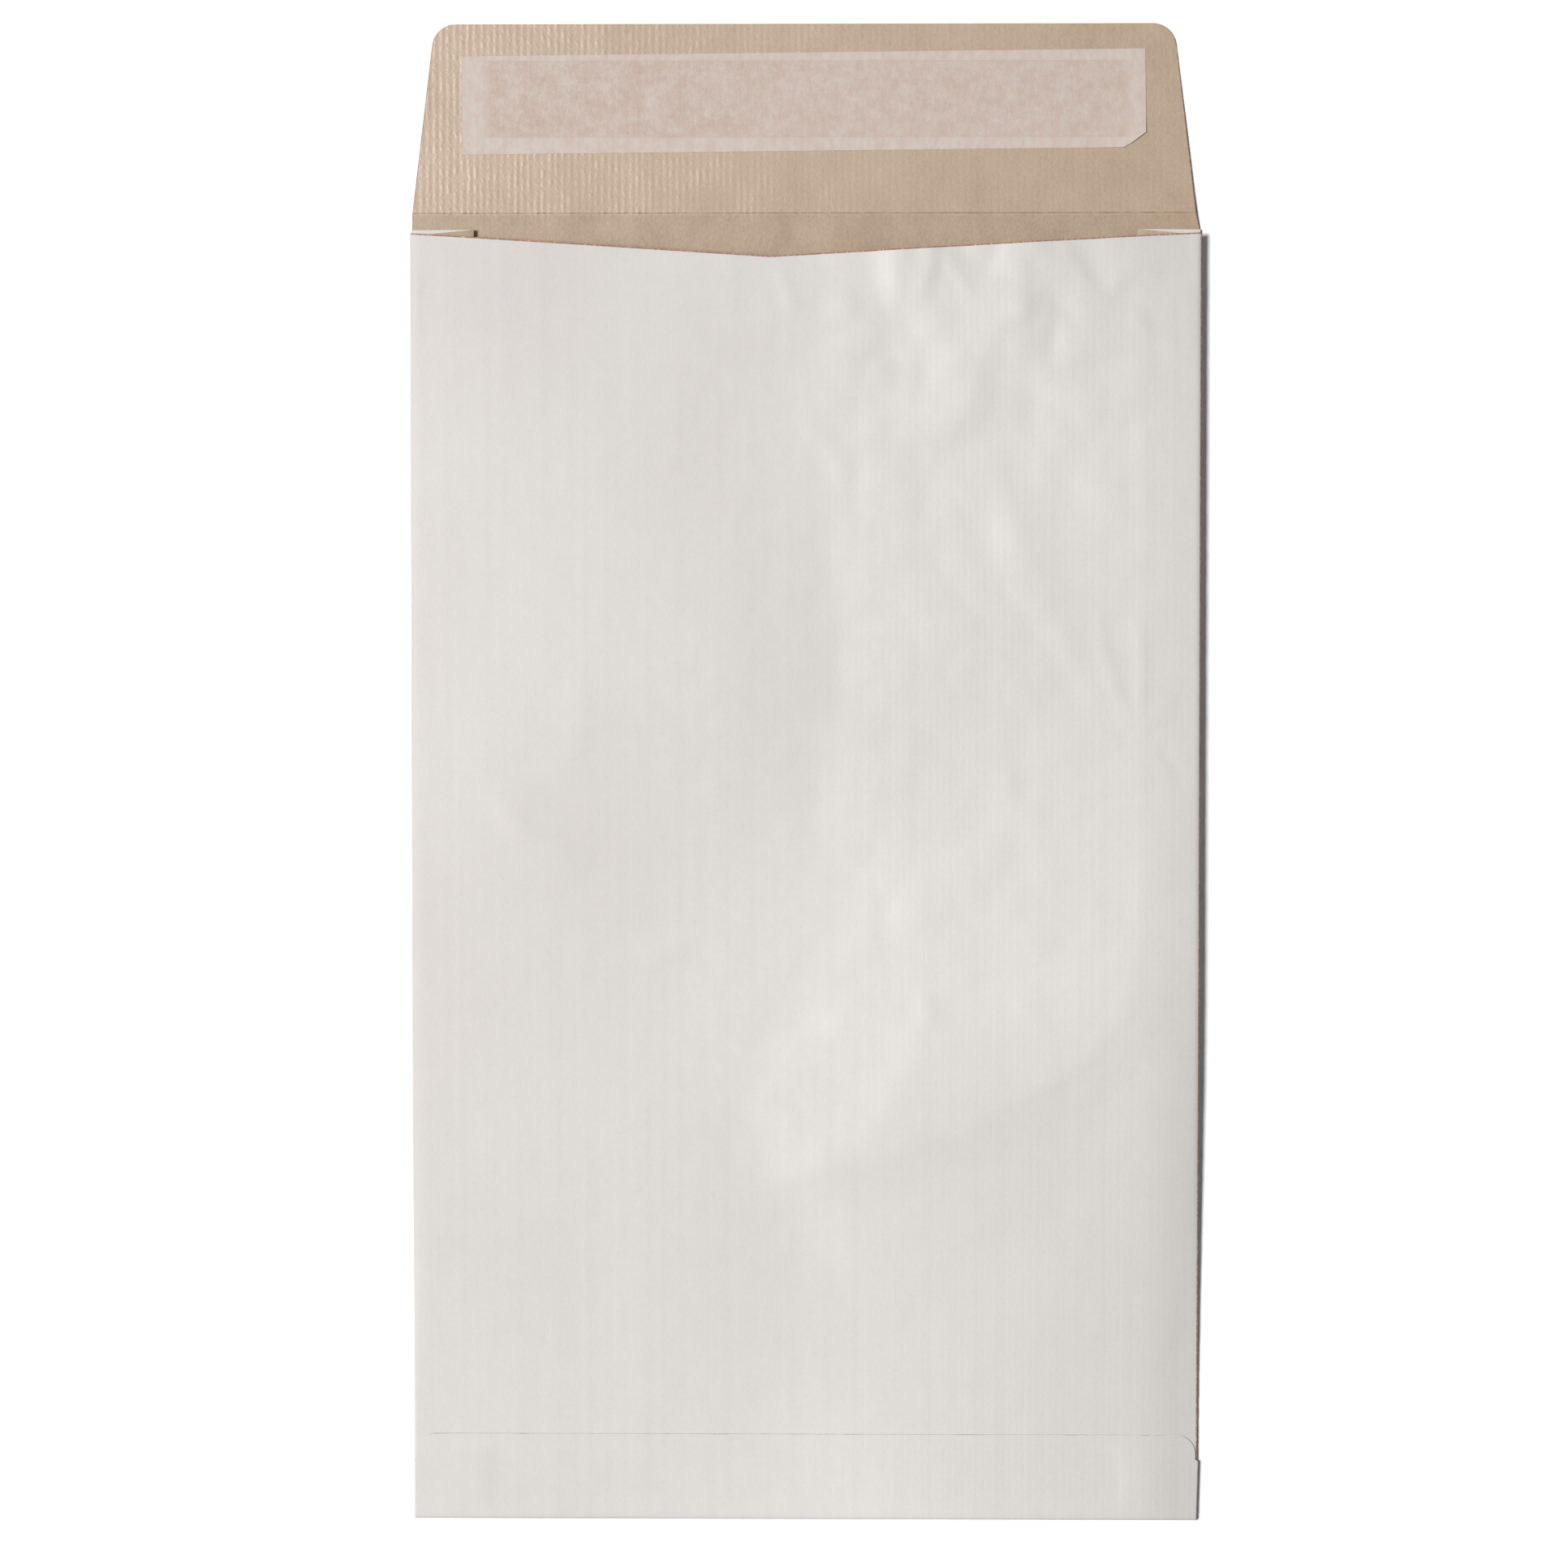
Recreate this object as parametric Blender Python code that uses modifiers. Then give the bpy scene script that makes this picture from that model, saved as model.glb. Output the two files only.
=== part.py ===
"""A gusseted, tear-resistant paper mailing bag, lying on its back with the flap open.

One sheet of two-tone kraft is folded into a tube with a gusset in each side, glued down
one edge, and closed at the bottom by a flap turned up over the front. The closing flap
carries a band of adhesive under a peel-off liner.

Metres, +Z up. Y runs along the bag from the bottom fold to the flap, and X across it.
The sheet is laid out as a flat blank, in strips across and rows along, and each point of
the blank is carried to its folded place. Solidify then gives the paper its thickness.
"""

import math

import bmesh
import bpy

# The outside of the bag
BAG_WIDTH = 0.250
BODY_LENGTH = 0.411         # tip of the bottom fold to the ends of the throat
GUSSET_DEPTH = 0.020        # from an outer crease in to the middle crease
FLAP_LENGTH = 0.0650        # ends of the throat to the flap's edge
FLAP_EDGE_WIDTH = 0.2342    # the flap's width at its edge, measured past the round corners
FLAP_CORNER_RADIUS = 0.0054
FLAP_X = -0.0005            # the flap stands this much to the left of the body
FLAP_CREASE_UP = 0.0053     # the flap's crease, above the ends of the throat
THROAT_DEPTH = 0.0075       # the shallow V cut in the front panel
THROAT_X = -0.011           # the V's point, a little left of the middle
FRONT_CUT_BACK = 0.0012     # the front's corners lie this far below the gussets' top edge
GUSSET_CUT_BACK = 0.0020    # and the gussets' upper halves run out this far below it

# The bottom flap and the seam
BOTTOM_FLAP_LENGTH = 0.0275
BOTTOM_FLAP_INSET = 0.0007  # the flap is cut in by this beyond the gussets' tails
BOTTOM_CORNER_RADIUS = 0.006
GUSSET_TAIL_LENGTH = 0.0192
STEP_LENGTH = 0.0006        # over which the flap's side steps in by that inset
TAIL_FLARE = 0.0011         # the right tail's end stands out this far past the crease
SEAM_WIDTH = 0.012
SEAM_EDGE_INSET = 0.0003    # the front's cut edge, in from the crease that it covers

# The paper and the glue
PAPER = 0.0002
GLUE_GAP = 0.0001           # between sheets that are glued or pressed together
SEAT_GAP = 0.00002          # left between two pieces that touch
FOLD_PITCH = 0.0005         # between the two sheets at a crease that has sprung open
BOTTOM_GLUE_WIDTH = 0.190
BOTTOM_GLUE_BAND = 0.012
BOTTOM_GLUE_FROM_EDGE = 0.003

# How far the bag has sprung open where it lies
EDGE_RISE = 0.0037          # the front panel's sides, above the pressed bottom
CROWN = 0.0036              # the middle of the front panel, above its sides
CROWN_POWER = 4             # a high power keeps the middle flat and rolls the sides
RISE_LENGTH = 0.125         # over which the front climbs from the bottom flap, at the left
RISE_LENGTH_RIGHT = 0.143   # and at the right
RISE_TURN = -0.017          # the climb lengthens from here to the right side
VALLEY_DEPTH = 0.0007       # a soft valley down the front's middle
VALLEY_X = 0.005
VALLEY_HALF_WIDTH = 0.034
VALLEY_HALF_LENGTH = 0.105
VALLEY_FROM_THROAT = 0.167  # its centre, below the ends of the throat
CREASE_LIFT = 0.0010        # the flap's crease stands this much above the table
CREASE_LIFT_REACH = 0.026   # how far into the bag that lift runs
LIFT_POWER = 1.5
THROAT_BLEND = 0.060        # length over which the throat's cut draws the rows down
FLAP_SINK_RUN = 0.006       # the bottom flap sinks onto the front over this length

# The closing strip: a band of adhesive, and its liner laid on a little askew
LINER_WIDTH = 0.2162
LINER_HEIGHT = 0.0310
LINER_PAPER = 0.00008
LINER_X = -0.0005
LINER_UP = 0.0404           # above the ends of the throat
LINER_TILT = math.radians(0.57)
LINER_CORNER_X = 0.0065     # the loose lower right corner
LINER_CORNER_Y = 0.0047
LINER_CORNER_LIFT = 0.0010
LINER_CURL_REACH = 0.014
ADHESIVE_WIDTH = 0.203
ADHESIVE_HEIGHT = 0.0250
ADHESIVE_X = 0.0008
ADHESIVE_UP = 0.0413
ADHESIVE = 0.00006

# How finely the curves are cut
CREASE_SEGMENTS = 4
BOTTOM_FOLD_SEGMENTS = 8
CORNER_SEGMENTS = 5
HALF_GUSSET_SEGMENTS = 4
HALF_FRONT_SEGMENTS = 7
HALF_BACK_SEGMENTS = 4
SEAM_SEGMENTS = 4
RISE_ROWS = 10
BODY_ROWS = 7
MOUTH_ROWS = 5
FLAP_ROWS = 7
LINER_COLUMNS = 24
LINER_ROWS = 6

# Worked out from the above
HALF = (BAG_WIDTH - PAPER) / 2               # the sheet's middle, at an outer crease
LAYER_PITCH = PAPER + GLUE_GAP
BACK_Z = PAPER / 2
LOWER_Z = BACK_Z + LAYER_PITCH               # a gusset's lower half, pressed at the bottom
FRONT_Z = BACK_Z + 4 * LAYER_PITCH           # the front panel, pressed at the bottom
FOLD_Z = (LOWER_Z + FRONT_Z + LAYER_PITCH) / 2    # centre line of the bottom fold
THROAT_Y = BODY_LENGTH - FOLD_Z
CREASE_Y = THROAT_Y + FLAP_CREASE_UP
FLAP_Y = THROAT_Y + FLAP_LENGTH
LIFT_Y = CREASE_Y - CREASE_LIFT_REACH
BOTTOM_FLAP_Y = BOTTOM_FLAP_LENGTH - FOLD_Z
TAIL_Y = GUSSET_TAIL_LENGTH - FOLD_Z
MIDDLE_X = TAIL_FLARE / 2                    # the middle of the whole outline
MIDDLE_Y = (FLAP_Y - FOLD_Z) / 2

TUBE, TAIL, FLAP = "tube", "tail", "flap"    # how far down a strip of the blank reaches
TURNED, FOLD, FLAT = "turned", "fold", "flat"     # where a row lies


def lerp(a, b, u):
    return a + (b - a) * u


def smooth(u):
    """0 to 1, level at both ends."""
    u = min(1.0, max(0.0, u))
    return u * u * (3 - 2 * u)


def hump(u):
    """1 at 0, and falling to 0 at either side by 1."""
    return max(0.0, 1 - u * u) ** 2


def even(count):
    return [i / count for i in range(count + 1)]


def openness(x, y):
    """0 where the bag is pressed flat at the bottom, 1 where it has sprung open."""
    across = smooth((x - RISE_TURN) / (HALF - RISE_TURN))
    return smooth((y - BOTTOM_FLAP_Y) / lerp(RISE_LENGTH, RISE_LENGTH_RIGHT, across))


def front_height(x, y):
    """The front panel: crowned across, and climbing from the pressed bottom."""
    crown = CROWN * (1 - min(1.0, abs(x) / HALF) ** CROWN_POWER)
    across = (x - VALLEY_X) / VALLEY_HALF_WIDTH
    along = (y - THROAT_Y + VALLEY_FROM_THROAT) / VALLEY_HALF_LENGTH
    valley = VALLEY_DEPTH * hump(across) * hump(along)
    return FRONT_Z + openness(x, y) * (EDGE_RISE + crown - valley)


def back_height(y):
    """The back panel and the flap: flat on the table, but lifted in a ridge at the crease."""
    if y < CREASE_Y:
        share = max(0.0, (y - LIFT_Y) / CREASE_LIFT_REACH)
    else:
        share = max(0.0, (FLAP_Y - y) / (FLAP_Y - CREASE_Y))
    return BACK_Z + CREASE_LIFT * share ** LIFT_POWER


class Gusset:
    """One side's gusset. Each shape gives x and z for a share of its strip and a y."""

    def __init__(self, side, sheets_above):
        self.side = side                     # -1 left, +1 right
        self.sheets_above = sheets_above     # glued between it and the front panel

    def radius(self, y):
        """Of the outer creases: tight at the bottom, looser where they have sprung open."""
        return lerp(LAYER_PITCH, FOLD_PITCH, openness(self.side * HALF, y)) / 2

    def edge(self, y):
        return HALF - self.radius(y)

    def top(self, y):
        return front_height(self.side * self.edge(y), y) - self.sheets_above * LAYER_PITCH

    def levels(self, y):
        """The upper half's outer end, the lower half's, the middle crease and its radius."""
        upper = self.top(y) - 2 * self.radius(y)
        lower = back_height(y) + 2 * self.radius(y)
        pressed = FRONT_Z - (self.sheets_above + 1) * LAYER_PITCH - LOWER_Z
        inner = lerp(pressed / 2, self.radius(y), openness(self.side * HALF, y))
        return upper, lower, (upper + lower) / 2, inner

    def upper_crease(self, u, y):
        radius, turn = self.radius(y), math.pi * u
        x = self.edge(y) + radius * math.sin(turn)
        return self.side * x, self.top(y) - radius + radius * math.cos(turn)

    def upper_half(self, u, y):
        upper, _, middle, inner = self.levels(y)
        x = lerp(self.edge(y), HALF - GUSSET_DEPTH + inner, u)
        return self.side * x, lerp(upper, middle + inner, smooth(u))

    def middle_crease(self, u, y):
        _, _, middle, inner = self.levels(y)
        x = HALF - GUSSET_DEPTH + inner - inner * math.sin(math.pi * u)
        return self.side * x, middle + inner * math.cos(math.pi * u)

    def lower_half(self, u, y):
        _, lower, middle, inner = self.levels(y)
        x = lerp(HALF - GUSSET_DEPTH + inner, self.edge(y), u)
        return self.side * x, lerp(middle - inner, lower, smooth(u))

    def lower_crease(self, u, y):
        radius, turn = self.radius(y), math.pi * u
        x = self.edge(y) + radius * math.sin(turn)
        return self.side * x, back_height(y) + radius + radius * math.cos(turn)


LEFT = Gusset(-1, sheets_above=0)
RIGHT = Gusset(+1, sheets_above=1)


def seam_columns():
    """Distances from the middle of the columns that the seam's two sheets share."""
    return [lerp(HALF - SEAM_WIDTH, HALF, u) for u in even(SEAM_SEGMENTS)]


def front_columns():
    """X of the front panel's columns, from its cut edge at the right to the left crease,
    with one through the V's point."""
    inner = HALF - SEAM_WIDTH
    right = [lerp(inner, THROAT_X, u) for u in even(HALF_FRONT_SEGMENTS)]
    left = [lerp(THROAT_X, -inner, u) for u in even(HALF_FRONT_SEGMENTS)]
    seam = seam_columns()
    return list(reversed(seam)) + right[1:] + left[1:] + [-x for x in seam[1:]]


def front_panel(u, y):
    columns = front_columns()
    x = columns[round(u * (len(columns) - 1))]
    x = max(-LEFT.edge(y), min(x, HALF - SEAM_EDGE_INSET))
    return x, front_height(x, y)


def front_cut(u):
    columns = front_columns()
    x = columns[round(u * (len(columns) - 1))]
    side = HALF - THROAT_X if x > THROAT_X else HALF + THROAT_X
    return FRONT_CUT_BACK + THROAT_DEPTH * (1 - abs(x - THROAT_X) / side)


def seam_flange(u, y):
    """The strip past the right gusset, which is glued under the front's cut edge."""
    x = min(seam_columns()[round((1 - u) * SEAM_SEGMENTS)], RIGHT.edge(y))
    return x, front_height(x, y) - LAYER_PITCH


def back_columns():
    """Distances from the middle, up to the edge: the last three let the flap step up."""
    tail = HALF - GUSSET_DEPTH - 2 * LAYER_PITCH
    inner = tail - FLAP_SINK_RUN
    return [u * inner for u in even(HALF_BACK_SEGMENTS)] + [tail, (tail + HALF) / 2, HALF]


def back_panel(u, y):
    half = back_columns()
    columns = [-x for x in reversed(half[1:])] + half
    x = columns[round(u * (len(columns) - 1))]
    return max(-LEFT.edge(y), min(x, RIGHT.edge(y))), back_height(y)


def strips():
    """The blank's strips round the tube, from the front's cut edge at the right: a shape,
    its columns, how far its top is cut below the throat's ends, and its reach."""
    crease = even(CREASE_SEGMENTS)
    half = even(HALF_GUSSET_SEGMENTS)
    front = even(len(front_columns()) - 1)
    back = even(2 * len(back_columns()) - 2)

    def level(u):
        return 0.0

    def corner(u):
        return lerp(FRONT_CUT_BACK, GUSSET_CUT_BACK, u)

    def upper(u):
        return GUSSET_CUT_BACK * (1 - u)

    def backwards(function):
        return lambda u, *y: function(1 - u, *y)

    def cut(u):
        return GUSSET_CUT_BACK

    return [
        (front_panel, front, front_cut, TUBE),
        (LEFT.upper_crease, crease, corner, TUBE),
        (LEFT.upper_half, half, upper, TUBE),
        (LEFT.middle_crease, crease, level, TUBE),
        (LEFT.lower_half, half, level, TAIL),
        (LEFT.lower_crease, crease, level, TAIL),
        (back_panel, back, level, FLAP),
        (backwards(RIGHT.lower_crease), crease, level, TAIL),
        (backwards(RIGHT.lower_half), half, level, TAIL),
        (backwards(RIGHT.middle_crease), crease, level, TUBE),
        (backwards(RIGHT.upper_half), half, backwards(upper), TUBE),
        (backwards(RIGHT.upper_crease), crease, cut, TUBE),
        (seam_flange, even(SEAM_SEGMENTS), cut, TUBE),
    ]


def round_corner(y_edge, radius):
    """Rows round a flap's corner: y, and how far the side has come in."""
    turns = [math.pi / 2 * u for u in even(CORNER_SEGMENTS)]
    return [(y_edge - radius + radius * math.sin(a), radius * (1 - math.cos(a)))
            for a in turns]


def tube_rows():
    top_of_rise = BOTTOM_FLAP_Y + RISE_LENGTH_RIGHT
    rows = [0.0, BOTTOM_FLAP_Y / 2]
    rows += [lerp(BOTTOM_FLAP_Y, top_of_rise, u) for u in even(RISE_ROWS)]
    rows += [lerp(top_of_rise, LIFT_Y, u) for u in even(BODY_ROWS)][1:]
    rows += [lerp(LIFT_Y, THROAT_Y, u) for u in even(MOUTH_ROWS)][1:]
    return [(FLAT, y, 0.0) for y in rows]


def fold_rows():
    """From the end of the gussets' tails round the bottom fold."""
    turned = [TAIL_Y, (TAIL_Y + FLAP_SINK_RUN) / 2, FLAP_SINK_RUN, FLAP_SINK_RUN / 2]
    turns = [math.pi * u for u in reversed(even(BOTTOM_FOLD_SEGMENTS))]
    return [(TURNED, y, 0.0) for y in turned] + [(FOLD, a, 0.0) for a in turns[:-1]]


def bottom_flap_rows():
    """From the bottom flap's edge down to the step in its side."""
    rows = [(TURNED, y, BOTTOM_FLAP_INSET + cut)
            for y, cut in reversed(round_corner(BOTTOM_FLAP_Y, BOTTOM_CORNER_RADIUS))
            if y > TAIL_Y + STEP_LENGTH]
    return rows + [(TURNED, TAIL_Y + STEP_LENGTH, BOTTOM_FLAP_INSET)]


def closing_flap_rows():
    side = (HALF - FLAP_EDGE_WIDTH / 2) / FLAP_LENGTH
    straight = [lerp(CREASE_Y, FLAP_Y - FLAP_CORNER_RADIUS, u) for u in even(FLAP_ROWS)]
    rows = [(FLAT, y, side * (y - THROAT_Y)) for y in straight]
    rows += [(FLAT, y, side * (y - THROAT_Y) + cut)
             for y, cut in round_corner(FLAP_Y, FLAP_CORNER_RADIUS)[1:]]
    return rows


def rows(reach):
    """Where a row lies, its y or its angle round the fold, and how far the side is cut in."""
    found = tube_rows()
    if reach != TUBE:
        found = fold_rows() + found
    if reach == FLAP:
        found = bottom_flap_rows() + found + closing_flap_rows()
    return found


def sink(x, y):
    """How far the bottom flap has sunk onto the front, clear of the gussets' tails."""
    half = back_columns()
    between = smooth((half[-3] - abs(x)) / (half[-3] - half[-4])) * smooth(y / FLAP_SINK_RUN)
    beyond = smooth((y - TAIL_Y) / (BOTTOM_FLAP_Y - TAIL_Y))
    return LAYER_PITCH * max(between, beyond)


def flare(x, y):
    """The right side of what is turned up, which fans out over the gusset's depth."""
    across = smooth((x - HALF + GUSSET_DEPTH) / GUSSET_DEPTH)
    return TAIL_FLARE * across * min(1.0, y / TAIL_Y)


def place(shape, u, cut, row):
    """One point of the blank in its folded place."""
    where, along, inset = row
    if where == FLAT:
        blend = smooth((along - THROAT_Y + THROAT_BLEND) / THROAT_BLEND)
        y = along - cut * blend
        x, z = shape(u, along)
        x *= (HALF - inset) / HALF
        x += FLAP_X * min(1.0, max(0.0, along - THROAT_Y) / FLAP_CREASE_UP)
        return x - MIDDLE_X, y - MIDDLE_Y, z
    x, z = shape(u, 0.0)
    if where == FOLD:
        radius = FOLD_Z - z
        y, z = -radius * math.sin(along), FOLD_Z - radius * math.cos(along)
    else:
        y, z = along, 2 * FOLD_Z - z
        if shape is back_panel:
            z -= sink(x, y)
        x = x * (HALF - inset) / HALF + flare(x, y)
    return x - MIDDLE_X, y - MIDDLE_Y, z


def folded_sheet():
    mesh = bmesh.new()
    column = {}
    for shape, shares, cut, reach in strips():
        used = rows(reach)
        for i, u in enumerate(shares):
            before = column
            if i:
                column = {}
            for row in used:
                if row not in column:
                    column[row] = mesh.verts.new(place(shape, u, cut(u), row))
            if i:
                for low, high in zip(used, used[1:]):
                    mesh.faces.new((before[low], before[high], column[high], column[low]))
    return mesh


def layer(xs, ys, height, laid=lambda x, y: (x, y)):
    """A thin patch over a grid of x and y, each point laid in its place at its height."""
    mesh = bmesh.new()
    grid = []
    for y in ys:
        points = [laid(x, y) for x in xs]
        grid.append([mesh.verts.new((px - MIDDLE_X, py - MIDDLE_Y, height(px, py)))
                     for px, py in points])
    for low, high in zip(grid, grid[1:]):
        for a, b, c, d in zip(low, low[1:], high[1:], high):
            mesh.faces.new((a, b, c, d))
    return mesh


def material(name, colour, roughness):
    made = bpy.data.materials.new(name)
    made.use_nodes = True
    shader = made.node_tree.nodes["Principled BSDF"]
    shader.inputs["Base Color"].default_value = colour
    shader.inputs["Roughness"].default_value = roughness
    return made


def solid(name, mesh, thickness, materials, collection):
    data = bpy.data.meshes.new(name)
    mesh.to_mesh(data)
    mesh.free()
    for made in materials:
        data.materials.append(made)
    for polygon in data.polygons:
        polygon.use_smooth = True
    made = bpy.data.objects.new(name, data)
    collection.objects.link(made)
    thick = made.modifiers.new("paper", "SOLIDIFY")
    thick.thickness = thickness
    thick.offset = 0.0
    thick.use_even_offset = True
    thick.material_offset = len(materials) - 1
    return made


def spread(width, count):
    return [lerp(-width / 2, width / 2, u) for u in even(count)]


def adhesive_point(x, y):
    """A point of the adhesive band, from its centre to its place on the flap."""
    return ADHESIVE_X + x, THROAT_Y + ADHESIVE_UP + y


def on_flap(x, y):
    """As adhesive_point, for the liner, which lies askew."""
    turned_x = x * math.cos(LINER_TILT) - y * math.sin(LINER_TILT)
    turned_y = x * math.sin(LINER_TILT) + y * math.cos(LINER_TILT)
    return LINER_X + turned_x, THROAT_Y + LINER_UP + turned_y


def liner_point(x, y):
    """As on_flap, with the liner's lower right corner cut across."""
    over = max(0.0, x - LINER_WIDTH / 2 + LINER_CORNER_X) / LINER_CORNER_X
    share = (LINER_HEIGHT / 2 - y) / LINER_HEIGHT
    return on_flap(x, y + LINER_CORNER_Y * over * share)


def liner_height(x, y):
    flat = back_height(y) + (PAPER + LINER_PAPER) / 2 + ADHESIVE + 2 * SEAT_GAP
    corner_x, corner_y = on_flap(LINER_WIDTH / 2, -LINER_HEIGHT / 2)
    away = math.hypot(x - corner_x, y - corner_y) / LINER_CURL_REACH
    return flat + LINER_CORNER_LIFT * max(0.0, 1 - away) ** 2


def adhesive_height(x, y):
    return back_height(y) + (PAPER + ADHESIVE) / 2 + SEAT_GAP


def liner_columns():
    """Even, with extra ones where the corner is cut across and curls up."""
    curl = LINER_WIDTH / 2 - LINER_CURL_REACH
    plain = [lerp(-LINER_WIDTH / 2, curl, u) for u in even(LINER_COLUMNS)]
    cut = LINER_WIDTH / 2 - LINER_CORNER_X
    return plain + [(curl + cut) / 2, cut, (cut + LINER_WIDTH / 2) / 2, LINER_WIDTH / 2]


def glue_in_seam(x, y):
    return front_height(x, y) - LAYER_PITCH / 2


def glue_at_bottom(x, y):
    return FRONT_Z + LAYER_PITCH / 2


def build():
    for made in list(bpy.data.objects):
        bpy.data.objects.remove(made, do_unlink=True)
    collection = bpy.data.collections.new("tear_resistant_mailing_bag")
    bpy.context.scene.collection.children.link(collection)

    white = material("white_kraft", (0.72, 0.69, 0.66, 1.0), 0.42)
    brown = material("brown_kraft", (0.52, 0.40, 0.28, 1.0), 0.62)
    hot_melt = material("flap_adhesive", (0.62, 0.50, 0.36, 1.0), 0.35)
    glassine = material("release_liner", (0.63, 0.53, 0.48, 1.0), 0.40)
    paste = material("paper_glue", (0.75, 0.71, 0.62, 1.0), 0.50)

    solid("bag", folded_sheet(), PAPER, (white, brown), collection)

    glue = GLUE_GAP - 2 * SEAT_GAP
    band_top = BOTTOM_FLAP_Y - BOTTOM_GLUE_FROM_EDGE
    solid("bottom_glue",
          layer(spread(BOTTOM_GLUE_WIDTH, 8), (band_top - BOTTOM_GLUE_BAND, band_top),
                glue_at_bottom), glue, (paste,), collection)
    across = seam_columns()[1:-1]
    along = [y for _, y, _ in tube_rows() if BOTTOM_FLAP_Y < y < THROAT_Y - SEAM_WIDTH]
    solid("seam_glue", layer(across, along, glue_in_seam), glue, (paste,), collection)

    solid("flap_adhesive",
          layer(spread(ADHESIVE_WIDTH, LINER_COLUMNS), spread(ADHESIVE_HEIGHT, LINER_ROWS),
                adhesive_height, adhesive_point), ADHESIVE, (hot_melt,), collection)
    solid("release_liner",
          layer(liner_columns(), spread(LINER_HEIGHT, LINER_ROWS), liner_height,
                liner_point), LINER_PAPER, (glassine,), collection)


build()
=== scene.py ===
"""The looks of a tear-resistant paper mailing bag, lying on its back with the flap open.

The bag is one folded sheet of two-tone kraft. The finer sheet here is folded by the same
rules as the CAD sheet, and gets the creases and soft waves that handling leaves in a bag.
Three of its lengths differ a little from the CAD, as the photograph's edges ask for: the
flap's corner radius, how far the right tail stands out, and how far the seam's cut edge
reaches. Lengths are in metres, with +Z up. Before a point is placed, its X counts from the
middle of the bag and its Y from the bottom fold.
"""

import math

import bmesh
import bpy
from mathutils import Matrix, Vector, noise


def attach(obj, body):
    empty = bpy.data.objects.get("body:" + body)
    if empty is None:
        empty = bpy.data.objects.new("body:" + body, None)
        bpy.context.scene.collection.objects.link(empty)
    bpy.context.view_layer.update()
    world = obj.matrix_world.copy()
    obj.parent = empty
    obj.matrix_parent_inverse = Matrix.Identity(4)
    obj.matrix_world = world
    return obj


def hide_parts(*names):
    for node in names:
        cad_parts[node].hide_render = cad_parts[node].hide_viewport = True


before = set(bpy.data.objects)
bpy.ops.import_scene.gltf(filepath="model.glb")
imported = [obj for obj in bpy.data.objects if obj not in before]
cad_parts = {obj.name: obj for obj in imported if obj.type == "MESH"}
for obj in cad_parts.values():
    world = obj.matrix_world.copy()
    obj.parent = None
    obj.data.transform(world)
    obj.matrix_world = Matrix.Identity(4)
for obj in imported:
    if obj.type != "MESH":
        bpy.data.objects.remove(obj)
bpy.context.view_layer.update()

MM = 0.001

# The outside of the bag
BAG_WIDTH = 0.250
BODY_LENGTH = 0.411         # tip of the bottom fold to the ends of the throat
GUSSET_DEPTH = 0.020        # from an outer crease in to the middle crease
FLAP_LENGTH = 0.0650        # ends of the throat to the flap's edge
FLAP_EDGE_WIDTH = 0.2342    # the flap's width at its edge, measured past the round corners
FLAP_CORNER_RADIUS = 0.0066     # rounder than in the CAD
FLAP_X = -0.0005            # the flap stands this much to the left of the body
FLAP_CREASE_UP = 0.0053     # the flap's crease, above the ends of the throat
THROAT_DEPTH = 0.0075       # the shallow V cut in the front panel
THROAT_X = -0.011           # the V's point, a little left of the middle
FRONT_CUT_BACK = 0.0012     # the front's corners lie this far below the gussets' top edge
GUSSET_CUT_BACK = 0.0020    # and the gussets' upper halves run out this far below it

# The bottom flap and the seam
BOTTOM_FLAP_LENGTH = 0.0275
BOTTOM_FLAP_INSET = 0.0007  # the flap is cut in by this beyond the gussets' tails
BOTTOM_CORNER_RADIUS = 0.006
GUSSET_TAIL_LENGTH = 0.0192
STEP_LENGTH = 0.0006        # over which the flap's side steps in by that inset
TAIL_FLARE = 0.0011         # how far the right tail's end stands out in the CAD
TAIL_SHOWN = 0.0005         # and here
SEAM_WIDTH = 0.012

# The paper and the glue
PAPER = 0.0002
GLUE_GAP = 0.0001           # between sheets that are glued or pressed together
SEAT_GAP = 0.00002          # left between two pieces that touch
FOLD_PITCH = 0.0005         # between the two sheets at a crease that has sprung open

# How far the bag has sprung open where it lies
EDGE_RISE = 0.0037          # the front panel's sides, above the pressed bottom
CROWN = 0.0036              # the middle of the front panel, above its sides
CROWN_POWER = 4             # a high power keeps the middle flat and rolls the sides
RISE_LENGTH = 0.125         # over which the front climbs from the bottom flap, at the left
RISE_LENGTH_RIGHT = 0.143   # and at the right
RISE_TURN = -0.017          # the climb lengthens from here to the right side
VALLEY_DEPTH = 0.0007       # a soft valley down the front's middle
VALLEY_X = 0.005
VALLEY_HALF_WIDTH = 0.034
VALLEY_HALF_LENGTH = 0.105
VALLEY_FROM_THROAT = 0.167  # its centre, below the ends of the throat
CREASE_LIFT = 0.0010        # the flap's crease stands this much above the table
CREASE_LIFT_REACH = 0.026   # how far into the bag that lift runs
LIFT_POWER = 1.5
THROAT_BLEND = 0.060        # length over which the throat's cut draws the rows down
FLAP_SINK_RUN = 0.006       # the bottom flap sinks onto the front over this length

# The closing strip: a band of adhesive, and its liner laid on a little askew
LINER_WIDTH = 0.2162
LINER_HEIGHT = 0.0310
LINER_PAPER = 0.00008
LINER_X = -0.0005
LINER_UP = 0.0404           # above the ends of the throat
LINER_TILT = math.radians(0.57)
LINER_CORNER_X = 0.0065     # the loose lower right corner
LINER_CORNER_Y = 0.0047
LINER_CORNER_LIFT = 0.0010
LINER_CURL_REACH = 0.014
ADHESIVE_WIDTH = 0.203
ADHESIVE_HEIGHT = 0.0250
ADHESIVE_X = 0.0008
ADHESIVE_UP = 0.0413
ADHESIVE = 0.00006

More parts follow.
